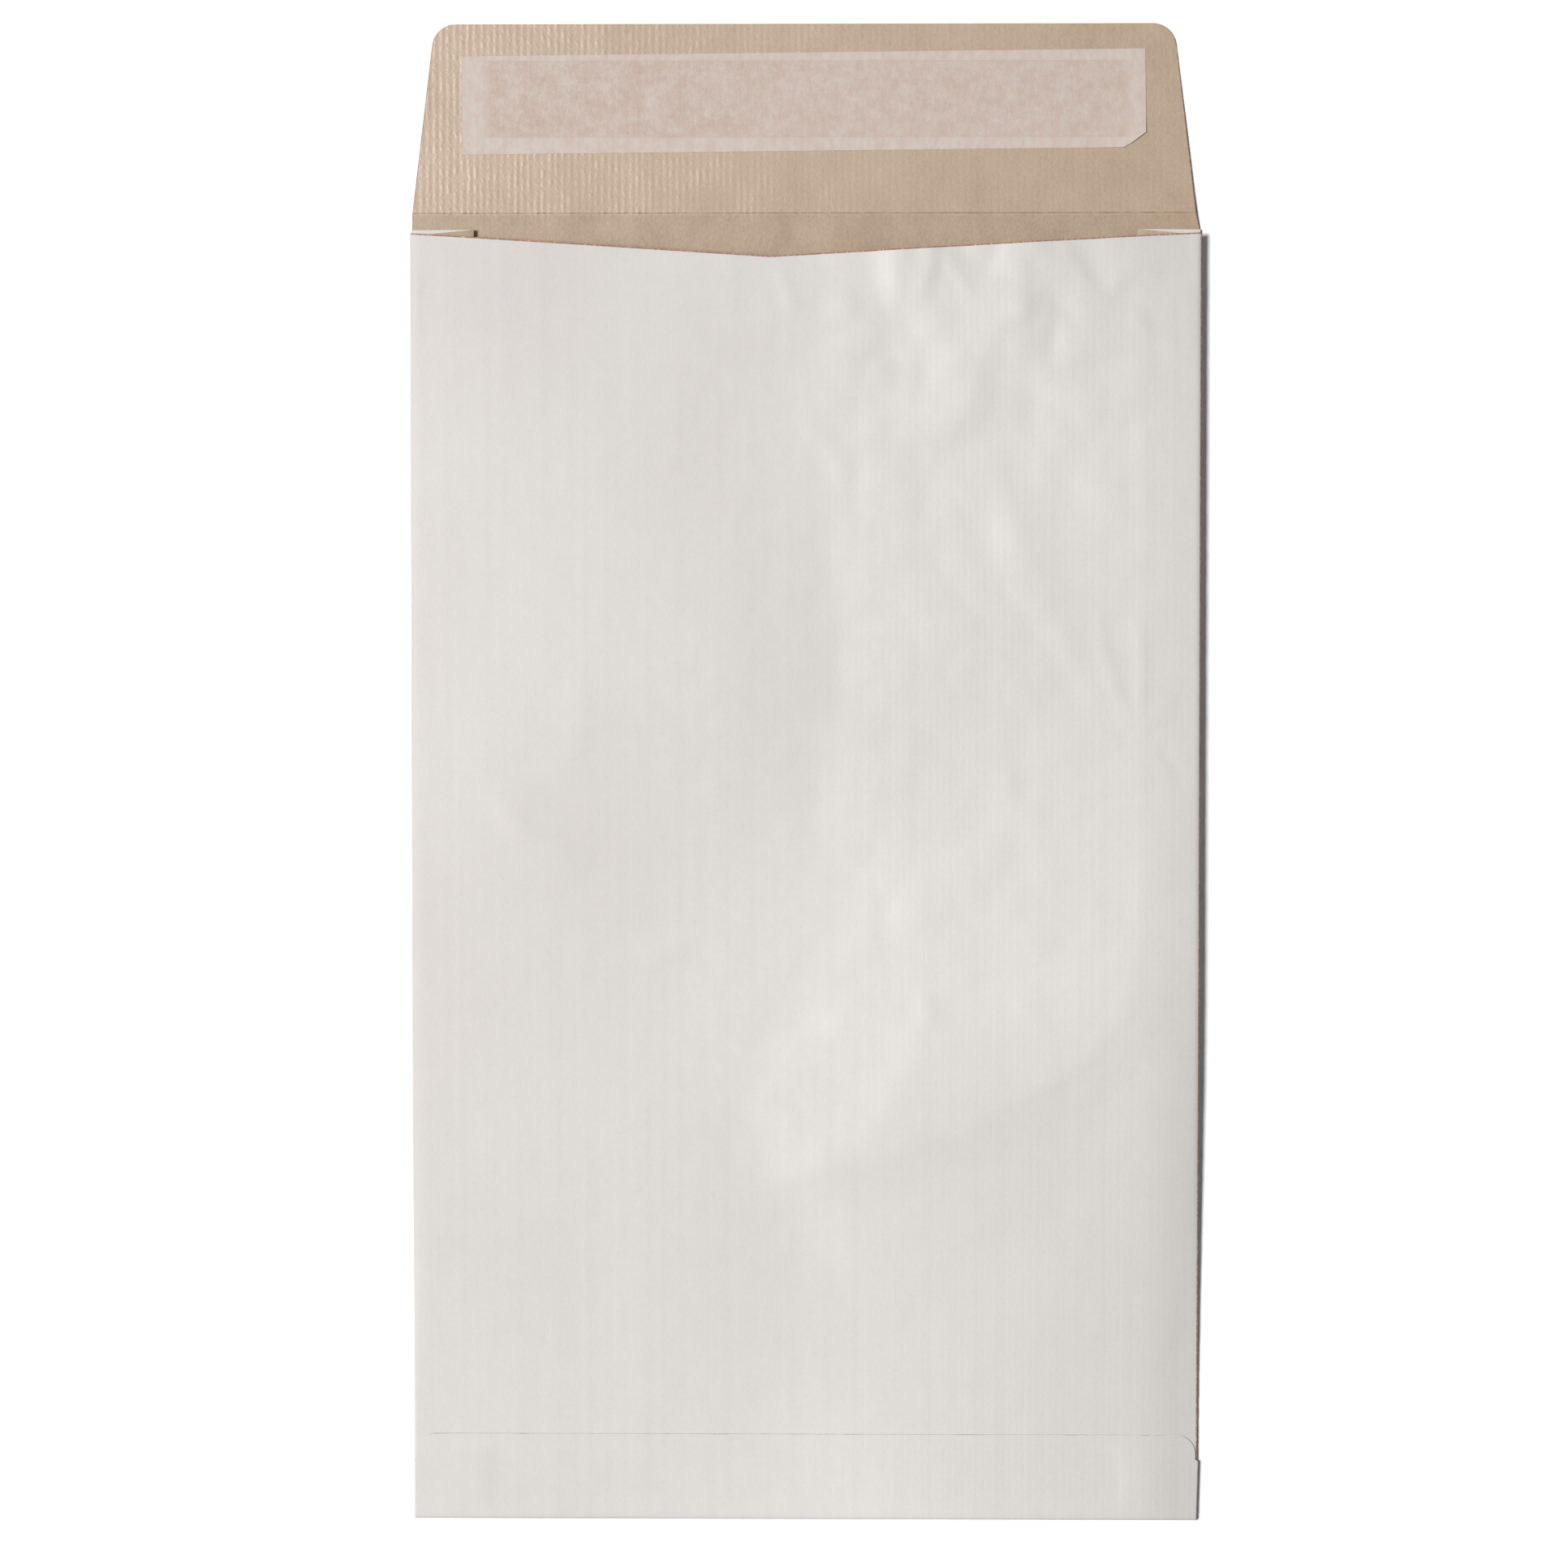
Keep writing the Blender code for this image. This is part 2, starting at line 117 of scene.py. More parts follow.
# Relief that only the looks have
WAVE = 0.00022              # soft unevenness of the front panel
WAVE_X = 0.075
WAVE_Y = 0.110
SMALL_WAVE = 0.00007
SMALL_WAVE_SIZE = 0.022
RELIEF_RUN = 0.050          # the creases fade in over this length above the bottom flap
LEFT_ROLL = 0.0022          # width of the strip that rolls over along the left crease
LEFT_ROLL_DROP = 0.00028
FLAP_WAVE = 0.0005
FLAP_WAVE_SIZE = 0.058
CREASE_END = 0.15           # where on its slope a crease starts and ends
CRUMPLE = 0.0017            # facets of the handled upper right, deepest below the mouth
CRUMPLE_SIZE = 0.027
CRUMPLE_FROM_X = -0.006     # they begin here
CRUMPLE_RUN = 0.030         # and deepen over this width
CRUMPLE_RUN_RIGHT = 0.020   # and run out over this one at the right crease
CRUMPLE_CALM = 0.30         # share that is left below CRUMPLE_CALM_DOWN
CRUMPLE_CALM_DOWN = 0.110   # this one and the next count down from the throat's ends
CRUMPLE_END_DOWN = 0.270    # no facets from here on
CRUMPLE_END_RUN = 0.060
CRUMPLE_SHIFT = 0.010       # bends the facets' edges, so they don't lie in rows
CRUMPLE_SHIFT_SIZE = 0.040
CRUMPLE_FINE = 0.4          # share of facets half as large
GROOVE = 0.00008            # the pressed line of the flap's crease
GROOVE_HALF_WIDTH = 0.0004
CREASE_RIDGE = 0.00025      # how the folded-back flap springs up along its crease
RIDGE_BELOW = 0.0050        # the ridge's flank towards the mouth
RIDGE_ABOVE = 0.010         # and its flank on the flap
CUT_SERRATION = 0.00010     # the seam's cut edge wanders by this
CUT_SERRATION_SIZE = 0.0013
CUT_BAND = 0.00045          # the torn strip along a cut edge
LIP = 0.00035               # the seam's cut edge is turned down in a lip this wide
LIP_DROP = 0.00045
LIP_OUT = 0.00020           # and stands out past the crease, where the CAD's is set in
RIB_PITCH = 0.00214         # from one of the paper's ribs to the next
SHARP_ANGLE = math.radians(50)      # edges that turn more than this are shown sharp

# How high the finest relief stands, which is left to the materials
WHITE_RIBS = 0.000009
WHITE_GRAIN = 0.000018
BROWN_RIBS = 0.000044
BROWN_GRAIN = 0.000024
CUT_FIBRES = 0.00003
WORN_FIBRES = 0.00001
LINER_RIBS = 0.000006
LINER_WRINKLES = 0.000008
ADHESIVE_STREAKS = 0.00003
GLUE_PATCHES = 0.00002

# Colours, and where there are two, the low and the high end of a mix
# the white's two tints are also painted darker at the upper left and lighter at the lower right,
# evening out the lamp's falloff
ROSY_WHITE_PAINTED_DARKER = ((0.550, 0.518, 0.496, 1.0), (0.594, 0.560, 0.539, 1.0))
CREAMY_WHITE_PAINTED_LIGHTER = ((0.652, 0.626, 0.596, 1.0), (0.702, 0.676, 0.644, 1.0))
# painted shade: a greyer white for the foot's right and the right side
PAINTED_SHADE_WHITE = ((0.515, 0.497, 0.475, 1.0), (0.555, 0.537, 0.514, 1.0))
BROWN = ((0.290, 0.207, 0.131, 1.0), (0.434, 0.334, 0.241, 1.0))
# painted shade for the groove of the flap's crease
GROOVE_SHADE_BROWN = (0.190, 0.125, 0.070, 1.0)
GLAZE = (1.0, 0.90, 0.85, 1.0)
CUT_CORE = ((0.30, 0.145, 0.095, 1.0), (0.58, 0.43, 0.35, 1.0))
# brown dashes: the core, and painted shade of the gap under the edge
WORN_AND_SHADED_CORE = ((0.40, 0.265, 0.215, 1.0), (0.630, 0.595, 0.565, 1.0))
DRY_LINER = ((0.520, 0.405, 0.355, 1.0), (0.545, 0.485, 0.440, 1.0))
WET_LINER = (0.440, 0.320, 0.258, 1.0)
HOT_MELT = ((0.50, 0.38, 0.26, 1.0), (0.68, 0.56, 0.42, 1.0))
PASTE = ((0.66, 0.60, 0.50, 1.0), (0.80, 0.77, 0.70, 1.0))
FLOOR_COLOUR = (0.98, 0.98, 0.98, 1.0)
PURE_WHITE = (1.0, 1.0, 1.0, 1.0)

# The picture's light and camera
FLOOR_HALF = 6.0
FLOOR_GLOW = 0.01
LAMP_SIZE = 3.0
LAMP_POWER = 970.0
LAMP_PLACE = (-4.4, 0.5, 8.05)
WORLD_LIGHT = 0.10
SENSOR_WIDTH = 36.0
FOCAL_LENGTH = 108.3
CAMERA_PLACE = (0.0164, 0.0570, 1.50)
CAMERA_AIM = (-0.0073, -0.0026)
CAMERA_SIGHT = 20.0         # how far the camera sees

# How finely the curves are cut
CREASE_SEGMENTS = 5
BOTTOM_FOLD_SEGMENTS = 10
CORNER_SEGMENTS = 12
WORN_AND_SHADED_ROWS = 2               # rows of the bottom flap's edge that show its wear and painted gap shade
HALF_GUSSET_SEGMENTS = 6
FRONT_RIGHT_SEGMENTS = 74
FRONT_LEFT_SEGMENTS = 40
FRONT_EDGE_SEGMENTS = 6
FRONT_EDGE = 0.0069         # width of the strip along the left crease that is cut finer
HALF_BACK_SEGMENTS = 12
SIDE_SEGMENTS = 3           # over each of the last two runs to the back's side
TAIL_ROWS = 5
SINK_ROWS = 4
SEAM_SEGMENTS = 8
BOTTOM_ROWS = 8
BODY_ROWS = 176
FLAP_ROWS = 22
LINER_COLUMNS = 90
LINER_ROWS = 16

# Worked out from the above
HALF = (BAG_WIDTH - PAPER) / 2
LAYER_PITCH = PAPER + GLUE_GAP
BACK_Z = PAPER / 2
LOWER_Z = BACK_Z + LAYER_PITCH
FRONT_Z = BACK_Z + 4 * LAYER_PITCH
FOLD_Z = (LOWER_Z + FRONT_Z + LAYER_PITCH) / 2
THROAT_Y = BODY_LENGTH - FOLD_Z
CREASE_Y = THROAT_Y + FLAP_CREASE_UP
FLAP_Y = THROAT_Y + FLAP_LENGTH
LIFT_Y = CREASE_Y - CREASE_LIFT_REACH
BOTTOM_FLAP_Y = BOTTOM_FLAP_LENGTH - FOLD_Z
TAIL_Y = GUSSET_TAIL_LENGTH - FOLD_Z
MIDDLE_X = TAIL_FLARE / 2   # the middle of the CAD's whole outline
MIDDLE_Y = (FLAP_Y - FOLD_Z) / 2
TAIL_X = HALF - GUSSET_DEPTH - 2 * LAYER_PITCH
SINK_X = TAIL_X - FLAP_SINK_RUN

# How far a strip of the blank reaches, and where one of its rows lies
TUBE, TAIL, FLAP = "tube", "tail", "flap"
TURNED, FOLD, FLAT = "turned", "fold", "flat"

# Finishes of the sheet's edges, after 0 for the white side and 1 for the brown side
WORN_AND_SHADED, CUT = 2, 3


def lerp(a, b, u):
    return a + (b - a) * u


def smooth(u):
    """0 up to 0 and 1 from 1, with a soft slope between."""
    u = min(1.0, max(0.0, u))
    return u * u * (3 - 2 * u)


def hump(u):
    """1 in the middle, falling softly to 0 at -1 and 1."""
    return max(0.0, 1 - u * u) ** 2


def even(count):
    """Shares from 0 to 1 in count equal steps."""
    return [i / count for i in range(count + 1)]


class Crease:
    """A ridge, or with a negative height a valley, along a line of points on the front.

    The points are millimetres right of the bag's middle and down from the throat's ends.
    The flank on each side has its own width, so one can be steep and the other soft.
    """

    def __init__(self, height, left, right, *points, power=1.6, taper=0.25):
        self.height = height * MM
        self.left = left * MM
        self.right = right * MM
        self.power = power
        self.taper = taper
        self.points = [Vector((x * MM, THROAT_Y - down * MM)) for x, down in points]
        self.spans = [(b - a).length for a, b in zip(self.points, self.points[1:])]
        reach = max(self.left, self.right)
        self.low = Vector([min(p[i] for p in self.points) - reach for i in range(2)])
        self.high = Vector([max(p[i] for p in self.points) + reach for i in range(2)])

    def nearest(self, at):
        """Distance to the line, share of the way along it, and whether at is on its left."""
        best = (math.inf, 0.0, False)
        done = 0.0
        for a, b, span in zip(self.points, self.points[1:], self.spans):
            run = b - a
            t = min(1.0, max(0.0, (at - a).dot(run) / (span * span)))
            away = at - (a + run * t)
            if away.length < best[0]:
                side = run.x * (at.y - a.y) - run.y * (at.x - a.x)
                best = (away.length, done + span * t, side < 0)
            done += span
        return best[0], best[1] / done, best[2]

    def lift(self, x, y):
        if not (self.low.x < x < self.high.x and self.low.y < y < self.high.y):
            return 0.0
        away, along, is_left = self.nearest(Vector((x, y)))
        width = self.left if is_left else self.right
        if away >= width:
            return 0.0
        end = min(along, 1 - along) / self.taper
        slope = smooth(lerp(CREASE_END, 1.0, end))
        return self.height * (1 - away / width) ** self.power * slope


# The handling marks, each followed downwards, so its left flank is the bag's left
CREASES = [
    # the long valley down the middle, and its lower end running out to the left
    Crease(-0.38, 15, 34, (3, 56), (9, 80), (7, 108), (11, 134), (7, 160), (4, 184),
           (9, 208), (6, 236), taper=0.2),
    Crease(-0.16, 14, 26, (6, 234), (-2, 252), (-16, 272), (-26, 300)),
    # the mound that catches the light beside it
    Crease(1.50, 44, 62, (38, 240), (35, 262), (24, 284), (-8, 303), power=1.2, taper=0.2),
    Crease(0.45, 15, 18, (17, 240), (8, 256), (-10, 274), power=1.3, taper=0.35),
    # the arc at the lower right, where the sprung front comes down to the pressed bottom
    Crease(0.75, 46, 14, (106, 226), (102, 249), (91, 263), (77, 272), (50, 285),
           (16, 296), (-20, 306), power=1.3, taper=0.15),
    Crease(-0.22, 3, 6, (106, 246), (92, 264), (81, 272), (58, 283), taper=0.5),
    # crinkles below the mouth, from the middle to the right
    Crease(0.30, 5, 5, (-9, 12), (-5, 21), (-2, 28)),
    Crease(0.42, 7, 12, (26, 0), (27, 12), (31, 22), (33, 27), power=1.2),
    Crease(0.42, 6, 3, (40, 0), (40, 12), (36, 22), power=1.2),
    Crease(0.40, 3, 8, (43, 6), (47, 14), (53, 22)),
    Crease(0.42, 7, 14, (67, 0), (69, 10), (68, 19), (70, 32), power=1.2),
    Crease(0.45, 12, 4, (79, 2), (87, 14), (93, 24), power=1.2),
    Crease(0.28, 4, 5, (100, 14), (96, 20), (92, 24)),
    Crease(0.28, 5, 5, (103, 24), (110, 37)),
    Crease(0.20, 4, 2, (121, 18), (122, 42)),
    # the large facet under them, and the curl at its left
    Crease(0.62, 16, 8, (57, 34), (53, 50), (48, 62), (44, 68), power=1.2),
    Crease(0.38, 8, 7, (-1, 62), (6, 67), (11, 74), (13, 86)),
    Crease(-0.30, 10, 8, (24, 62), (32, 68), (40, 74)),
    # the long diagonal that runs to the star, and the facets on both its sides
    Crease(-0.34, 15, 7, (46, 82), (58, 100), (64, 117), (77, 133), (90, 158), power=1.2),
    Crease(0.34, 7, 18, (63, 76), (66, 97), (76, 112), power=1.2),
    Crease(-0.20, 10, 12, (36, 78), (38, 96), (44, 112)),
    # the star near the right side
    Crease(0.28, 5, 4, (93, 118), (94, 130), (98, 146), (105, 156)),
    Crease(0.20, 4, 3, (105, 122), (107, 143), (105, 156)),
    Crease(0.24, 3, 4, (105, 156), (110, 155), (118, 149)),
    Crease(-0.24, 3, 3, (97, 160), (104, 162), (113, 161)),
    Crease(-0.26, 4, 5, (112, 162), (116, 168), (120, 177)),
    Crease(0.40, 12, 8, (64, 168), (66, 182), (78, 186)),
    # the gusset's middle crease, felt through the front
    Crease(0.10, 4, 6, (106, 50), (107, 110), (106, 160), (106, 234), taper=0.1),
    # small dents on the sprung part above the arc
    Crease(0.30, 6, 7, (37, 240), (41, 253)),
    Crease(0.25, 6, 5, (66, 246), (77, 250)),
    Crease(0.12, 4, 4, (27, 316), (52, 319), (66, 313)),
    # soft mounds at the left
    Crease(0.45, 10, 15, (-99, 176), (-91, 190), (-69, 205)),
    Crease(0.30, 7, 8, (-52, 233), (-34, 223)),
    Crease(0.35, 14, 14, (-69, 140), (-76, 178)),
    # the crumpled top of the left crease
    Crease(0.20, 1.6, 1.8, (-125, 14), (-122.6, 17), (-123.6, 36)),
]


def waves(x, y, size_x, size_y, seed):
    """Smooth noise from about -1 to 1 with cells of size_x by size_y."""
    return noise.noise(Vector((x / size_x, y / size_y, seed)))


def crumpled(x, y):
    """Facets that meet in soft creases: most below the mouth at the right, none at the left."""
    down = THROAT_Y - y
    share = smooth((x - CRUMPLE_FROM_X) / CRUMPLE_RUN) * smooth((HALF - x) / CRUMPLE_RUN_RIGHT)
    calm = lerp(1.0, CRUMPLE_CALM, smooth(down / CRUMPLE_CALM_DOWN))
    share *= calm * smooth((CRUMPLE_END_DOWN - down) / CRUMPLE_END_RUN)
    if share == 0.0:
        return 0.0
    shift = CRUMPLE_SHIFT * waves(x, y, CRUMPLE_SHIFT_SIZE, CRUMPLE_SHIFT_SIZE, seed=6.6)
    size, half_size = CRUMPLE_SIZE, CRUMPLE_SIZE / 2
    facets = abs(waves(x + shift, y, size, size, seed=1.4))
    facets += CRUMPLE_FINE * abs(waves(x, y + shift, half_size, half_size, seed=9.4))
    return CRUMPLE * share * facets


def relief(x, y):
    """What handling has added to the front panel's height."""
    fade = smooth((y - BOTTOM_FLAP_Y) / RELIEF_RUN)
    if fade == 0.0:
        return 0.0
    lifted = WAVE * waves(x, y, WAVE_X, WAVE_Y, seed=3.7)
    lifted += SMALL_WAVE * waves(x, y, SMALL_WAVE_SIZE, SMALL_WAVE_SIZE, seed=8.1)
    lifted += crumpled(x, y) + sum(crease.lift(x, y) for crease in CREASES)
    rolled = max(0.0, -x - HALF + LEFT_ROLL) / LEFT_ROLL
    return fade * (lifted - LEFT_ROLL_DROP * rolled ** 2)


def openness(x, y):
    """0 where the bag is pressed flat at its bottom, 1 where it has sprung open."""
    across = smooth((x - RISE_TURN) / (HALF - RISE_TURN))
    return smooth((y - BOTTOM_FLAP_Y) / lerp(RISE_LENGTH, RISE_LENGTH_RIGHT, across))


def front_height(x, y):
    """The sprung front panel, with its soft valley and without the marks of handling."""
    crown = CROWN * (1 - min(1.0, abs(x) / HALF) ** CROWN_POWER)
    across = (x - VALLEY_X) / VALLEY_HALF_WIDTH
    along = (y - THROAT_Y + VALLEY_FROM_THROAT) / VALLEY_HALF_LENGTH
    valley = VALLEY_DEPTH * hump(across) * hump(along)
    return FRONT_Z + openness(x, y) * (EDGE_RISE + crown - valley)


def flap_wave(x, y):
    """The opened flap isn't quite flat: it only ever lifts off the table."""
    share = smooth((y - CREASE_Y) / (FLAP_Y - CREASE_Y) * 2)
    wave = waves(x, y, FLAP_WAVE_SIZE, FLAP_WAVE_SIZE, seed=5.3)
    return FLAP_WAVE * share * (0.5 + 0.5 * wave)


def back_height(y):
    """The back panel and the flap, which lift to the ridge of the flap's crease."""
    if y < CREASE_Y:
        share = max(0.0, (y - LIFT_Y) / CREASE_LIFT_REACH)
    else:
        share = max(0.0, (FLAP_Y - y) / (FLAP_Y - CREASE_Y))
    groove = GROOVE * max(0.0, 1 - abs(y - CREASE_Y) / GROOVE_HALF_WIDTH)
    reach = RIDGE_BELOW if y < CREASE_Y else RIDGE_ABOVE
    ridge = CREASE_RIDGE * max(0.0, 1 - abs(y - CREASE_Y) / reach) ** LIFT_POWER
    return BACK_Z + CREASE_LIFT * share ** LIFT_POWER + ridge - groove


def flap_height(x, y):
    return back_height(y) + flap_wave(x, y)


class Gusset:
    """One side's gusset, shape by shape, as in the CAD.

    Each shape takes the share of the way round it and Y, and gives X and the height.
    """

    def __init__(self, side, sheets_above):
        self.side = side
        self.sheets_above = sheets_above

    def radius(self, y):
        return lerp(LAYER_PITCH, FOLD_PITCH, openness(self.side * HALF, y)) / 2

    def edge(self, y):
        return HALF - self.radius(y)

    def top(self, y):
        x = self.side * self.edge(y)
        return front_height(x, y) + relief(x, y) - self.sheets_above * LAYER_PITCH

    def levels(self, y):
        """Heights of the upper fold, the lower fold and the middle, and the inner radius."""
        upper = self.top(y) - 2 * self.radius(y)
        lower = back_height(y) + 2 * self.radius(y)
        pressed = FRONT_Z - (self.sheets_above + 1) * LAYER_PITCH - LOWER_Z
        inner = lerp(pressed / 2, self.radius(y), openness(self.side * HALF, y))
        return upper, lower, (upper + lower) / 2, inner

    def upper_crease(self, u, y):
        radius, turn = self.radius(y), math.pi * u
        x = self.edge(y) + radius * math.sin(turn)
        return self.side * x, self.top(y) - radius + radius * math.cos(turn)

    def upper_half(self, u, y):
        upper, _, middle, inner = self.levels(y)
        x = lerp(self.edge(y), HALF - GUSSET_DEPTH + inner, u)
        return self.side * x, lerp(upper, middle + inner, smooth(u))

    def middle_crease(self, u, y):
        _, _, middle, inner = self.levels(y)
        x = HALF - GUSSET_DEPTH + inner - inner * math.sin(math.pi * u)
        return self.side * x, middle + inner * math.cos(math.pi * u)

    def lower_half(self, u, y):
        _, lower, middle, inner = self.levels(y)
        x = lerp(HALF - GUSSET_DEPTH + inner, self.edge(y), u)
        return self.side * x, lerp(middle - inner, lower, smooth(u))

    def lower_crease(self, u, y):
        radius, turn = self.radius(y), math.pi * u
        x = self.edge(y) + radius * math.sin(turn)
        return self.side * x, back_height(y) + radius + radius * math.cos(turn)


LEFT = Gusset(-1, sheets_above=0)
RIGHT = Gusset(+1, sheets_above=1)


def seam_columns():
    return [lerp(HALF - SEAM_WIDTH, HALF, u) for u in even(SEAM_SEGMENTS)]


def front_columns():
    """X of the front's columns, from the cut edge at the right: finer where it is creased."""
    right = [lerp(HALF - SEAM_WIDTH, THROAT_X, u) for u in even(FRONT_RIGHT_SEGMENTS)]
    left = [lerp(THROAT_X, FRONT_EDGE - HALF, u) for u in even(FRONT_LEFT_SEGMENTS)]
    edge = [lerp(FRONT_EDGE - HALF, -HALF, u) for u in even(FRONT_EDGE_SEGMENTS)]
    seam = [HALF, HALF + LIP_OUT - LIP] + list(reversed(seam_columns()[:-1]))
    return seam + right[1:] + left[1:] + edge[1:]


def back_columns():
    """X of the back's columns, finer where the bottom flap sinks and at the sides."""
    middle = [u * SINK_X for u in even(HALF_BACK_SEGMENTS)]
    step = [lerp(SINK_X, TAIL_X, u) for u in even(SIDE_SEGMENTS)]
    side = [lerp(TAIL_X, HALF - CUT_BAND, u) for u in even(SIDE_SEGMENTS)] + [HALF]
    half = middle + step[1:] + side[1:]
    return [-x for x in reversed(half[1:])] + half


FRONT_COLUMNS = front_columns()
BACK_COLUMNS = back_columns()


def column_at(columns, u):
    return columns[round(u * (len(columns) - 1))]


def front_panel(u, y):
    x = column_at(FRONT_COLUMNS, u)
    z = front_height(x, y)
    if u == 0.0:
        x += LIP_OUT + CUT_SERRATION * waves(0.0, y, 1.0, CUT_SERRATION_SIZE, seed=2.2)
        z -= LIP_DROP * openness(HALF, y)
    return max(-LEFT.edge(y), x), z


def front_cut(u):
    """How far the V-shaped throat is cut back from the blank's edge."""
    x = column_at(FRONT_COLUMNS, u)
    half = HALF - THROAT_X if x > THROAT_X else HALF + THROAT_X
    return FRONT_CUT_BACK + THROAT_DEPTH * (1 - min(1.0, abs(x - THROAT_X) / half))


def seam_flange(u, y):
    x = min(column_at(seam_columns(), 1 - u), RIGHT.edge(y))
    return x, front_height(x, y) - LAYER_PITCH


def back_panel(u, y):
    x = column_at(BACK_COLUMNS, u)
    return max(-LEFT.edge(y), min(x, RIGHT.edge(y))), back_height(y)


def strips():
    """The blank's strips round the tube: a shape, its columns, its cut, and its reach."""
    crease = even(CREASE_SEGMENTS)
    half = even(HALF_GUSSET_SEGMENTS)
    front = even(len(FRONT_COLUMNS) - 1)
    back = even(len(BACK_COLUMNS) - 1)

    def level(_):
        return 0.0

    def corner(u):
        return lerp(FRONT_CUT_BACK, GUSSET_CUT_BACK, u)

    def upper(u):
        return GUSSET_CUT_BACK * (1 - u)

    def cut(_):
        return GUSSET_CUT_BACK

    def backwards(function):
        """The same shape or cut, followed from its other end."""
        return lambda u, *y: function(1 - u, *y)

    return [
        (front_panel, front, front_cut, TUBE),
        (LEFT.upper_crease, crease, corner, TUBE),
        (LEFT.upper_half, half, upper, TUBE),
        (LEFT.middle_crease, crease, level, TUBE),
        (LEFT.lower_half, half, level, TAIL),
        (LEFT.lower_crease, crease, level, TAIL),
        (back_panel, back, level, FLAP),
        (backwards(RIGHT.lower_crease), crease, level, TAIL),
        (backwards(RIGHT.lower_half), half, level, TAIL),
        (backwards(RIGHT.middle_crease), crease, level, TUBE),
        (backwards(RIGHT.upper_half), half, backwards(upper), TUBE),
        (backwards(RIGHT.upper_crease), crease, cut, TUBE),
        (seam_flange, even(SEAM_SEGMENTS), cut, TUBE),
    ]


def round_corner(y_edge, radius):
    """Rows of a rounded corner, each with how far the sheet's side is cut in there."""
    turns = [math.pi / 2 * u for u in even(CORNER_SEGMENTS)]
    return [(y_edge - radius + radius * math.sin(a), radius * (1 - math.cos(a)))
            for a in turns]


def tube_rows():
    """Rows of the tube, from the bottom fold up to the throat."""
    ys = [BOTTOM_FLAP_Y * u for u in even(BOTTOM_ROWS)]
    ys += [lerp(BOTTOM_FLAP_Y, THROAT_Y, u) for u in even(BODY_ROWS)][1:-1]
    ys += [THROAT_Y - CUT_BAND, THROAT_Y]
    return [(FLAT, y, 0.0) for y in ys]


def fold_rows():
    """Rows of the turned-up tails, and then round the bottom fold."""
    turned = [lerp(TAIL_Y, FLAP_SINK_RUN, u) for u in even(TAIL_ROWS)]
    turned += [lerp(FLAP_SINK_RUN, 0.0, u) for u in even(SINK_ROWS)][1:-1]
    turns = [math.pi * u for u in reversed(even(BOTTOM_FOLD_SEGMENTS))]
    return [(TURNED, y, 0.0) for y in turned] + [(FOLD, a, 0.0) for a in turns[:-1]]


def bottom_flap_rows():
    """Rows of the bottom flap, from its edge with the round corners to the tails' ends."""
    found = [(TURNED, y, BOTTOM_FLAP_INSET + cut)
             for y, cut in reversed(round_corner(BOTTOM_FLAP_Y, BOTTOM_CORNER_RADIUS))
             if y > TAIL_Y + STEP_LENGTH]
    return found + [(TURNED, TAIL_Y + STEP_LENGTH, BOTTOM_FLAP_INSET)]


def closing_flap_rows():
    """Rows of the closing flap, from the throat over its pressed crease to its edge."""
    side = (HALF - FLAP_EDGE_WIDTH / 2) / FLAP_LENGTH
    groove = [CREASE_Y + GROOVE_HALF_WIDTH * u for u in (-2, -1, 0, 1, 2)]
    start = groove[-1]
    straight = [lerp(start, FLAP_Y - FLAP_CORNER_RADIUS, u) for u in even(FLAP_ROWS)][1:]
    below = [lerp(THROAT_Y, groove[0], u) for u in (0.33, 0.67)]
    found = [(FLAT, y, side * (y - THROAT_Y)) for y in below + groove + straight]
    found += [(FLAT, y, side * (y - THROAT_Y) + cut)
              for y, cut in round_corner(FLAP_Y, FLAP_CORNER_RADIUS)[1:]]
    return found


def rows(reach):
    """Each row is where it lies, its Y or its turn round the fold, and its sides' inset."""
    found = tube_rows()
    if reach != TUBE:
        found = fold_rows() + found
    if reach == FLAP:
        found = bottom_flap_rows() + found + closing_flap_rows()
    return found


def sink(x, y):
    """How far the bottom flap sinks between the gussets' tails and beyond them."""
    between = smooth((SINK_X + FLAP_SINK_RUN - abs(x)) / FLAP_SINK_RUN)
    between *= smooth(y / FLAP_SINK_RUN)
    beyond = smooth((y - TAIL_Y) / (BOTTOM_FLAP_Y - TAIL_Y))
    return LAYER_PITCH * max(between, beyond)


def flare(x, y):
    """How far the right tail's end stands out past the crease."""
    across = smooth((x - HALF + GUSSET_DEPTH) / GUSSET_DEPTH)
    return TAIL_SHOWN * across * min(1.0, y / TAIL_Y)


def place(shape, u, cut, row):
    """One point of the blank in its folded place."""
    where, along, inset = row
    if where == FLAT:
        blend = smooth((along - THROAT_Y + THROAT_BLEND) / THROAT_BLEND)
        y = along - cut * blend
        x, z = shape(u, along)
        if shape in (front_panel, seam_flange):
            z += relief(x, y)
        x *= (HALF - inset) / HALF
        x += FLAP_X * min(1.0, max(0.0, along - THROAT_Y) / FLAP_CREASE_UP)
        if shape is back_panel:
            z += flap_wave(x, y)
        return x - MIDDLE_X, y - MIDDLE_Y, z
    x, z = shape(u, 0.0)
    if where == FOLD:
        radius = FOLD_Z - z
        y, z = -radius * math.sin(along), FOLD_Z - radius * math.cos(along)
    else:
        y, z = along, 2 * FOLD_Z - z
        if shape is back_panel:
            z -= sink(x, y)
        x = x * (HALF - inset) / HALF + flare(x, y)
    return x - MIDDLE_X, y - MIDDLE_Y, z


def on_closing_flap(row):
    where, along, _ = row
    return where == FLAT and along > THROAT_Y


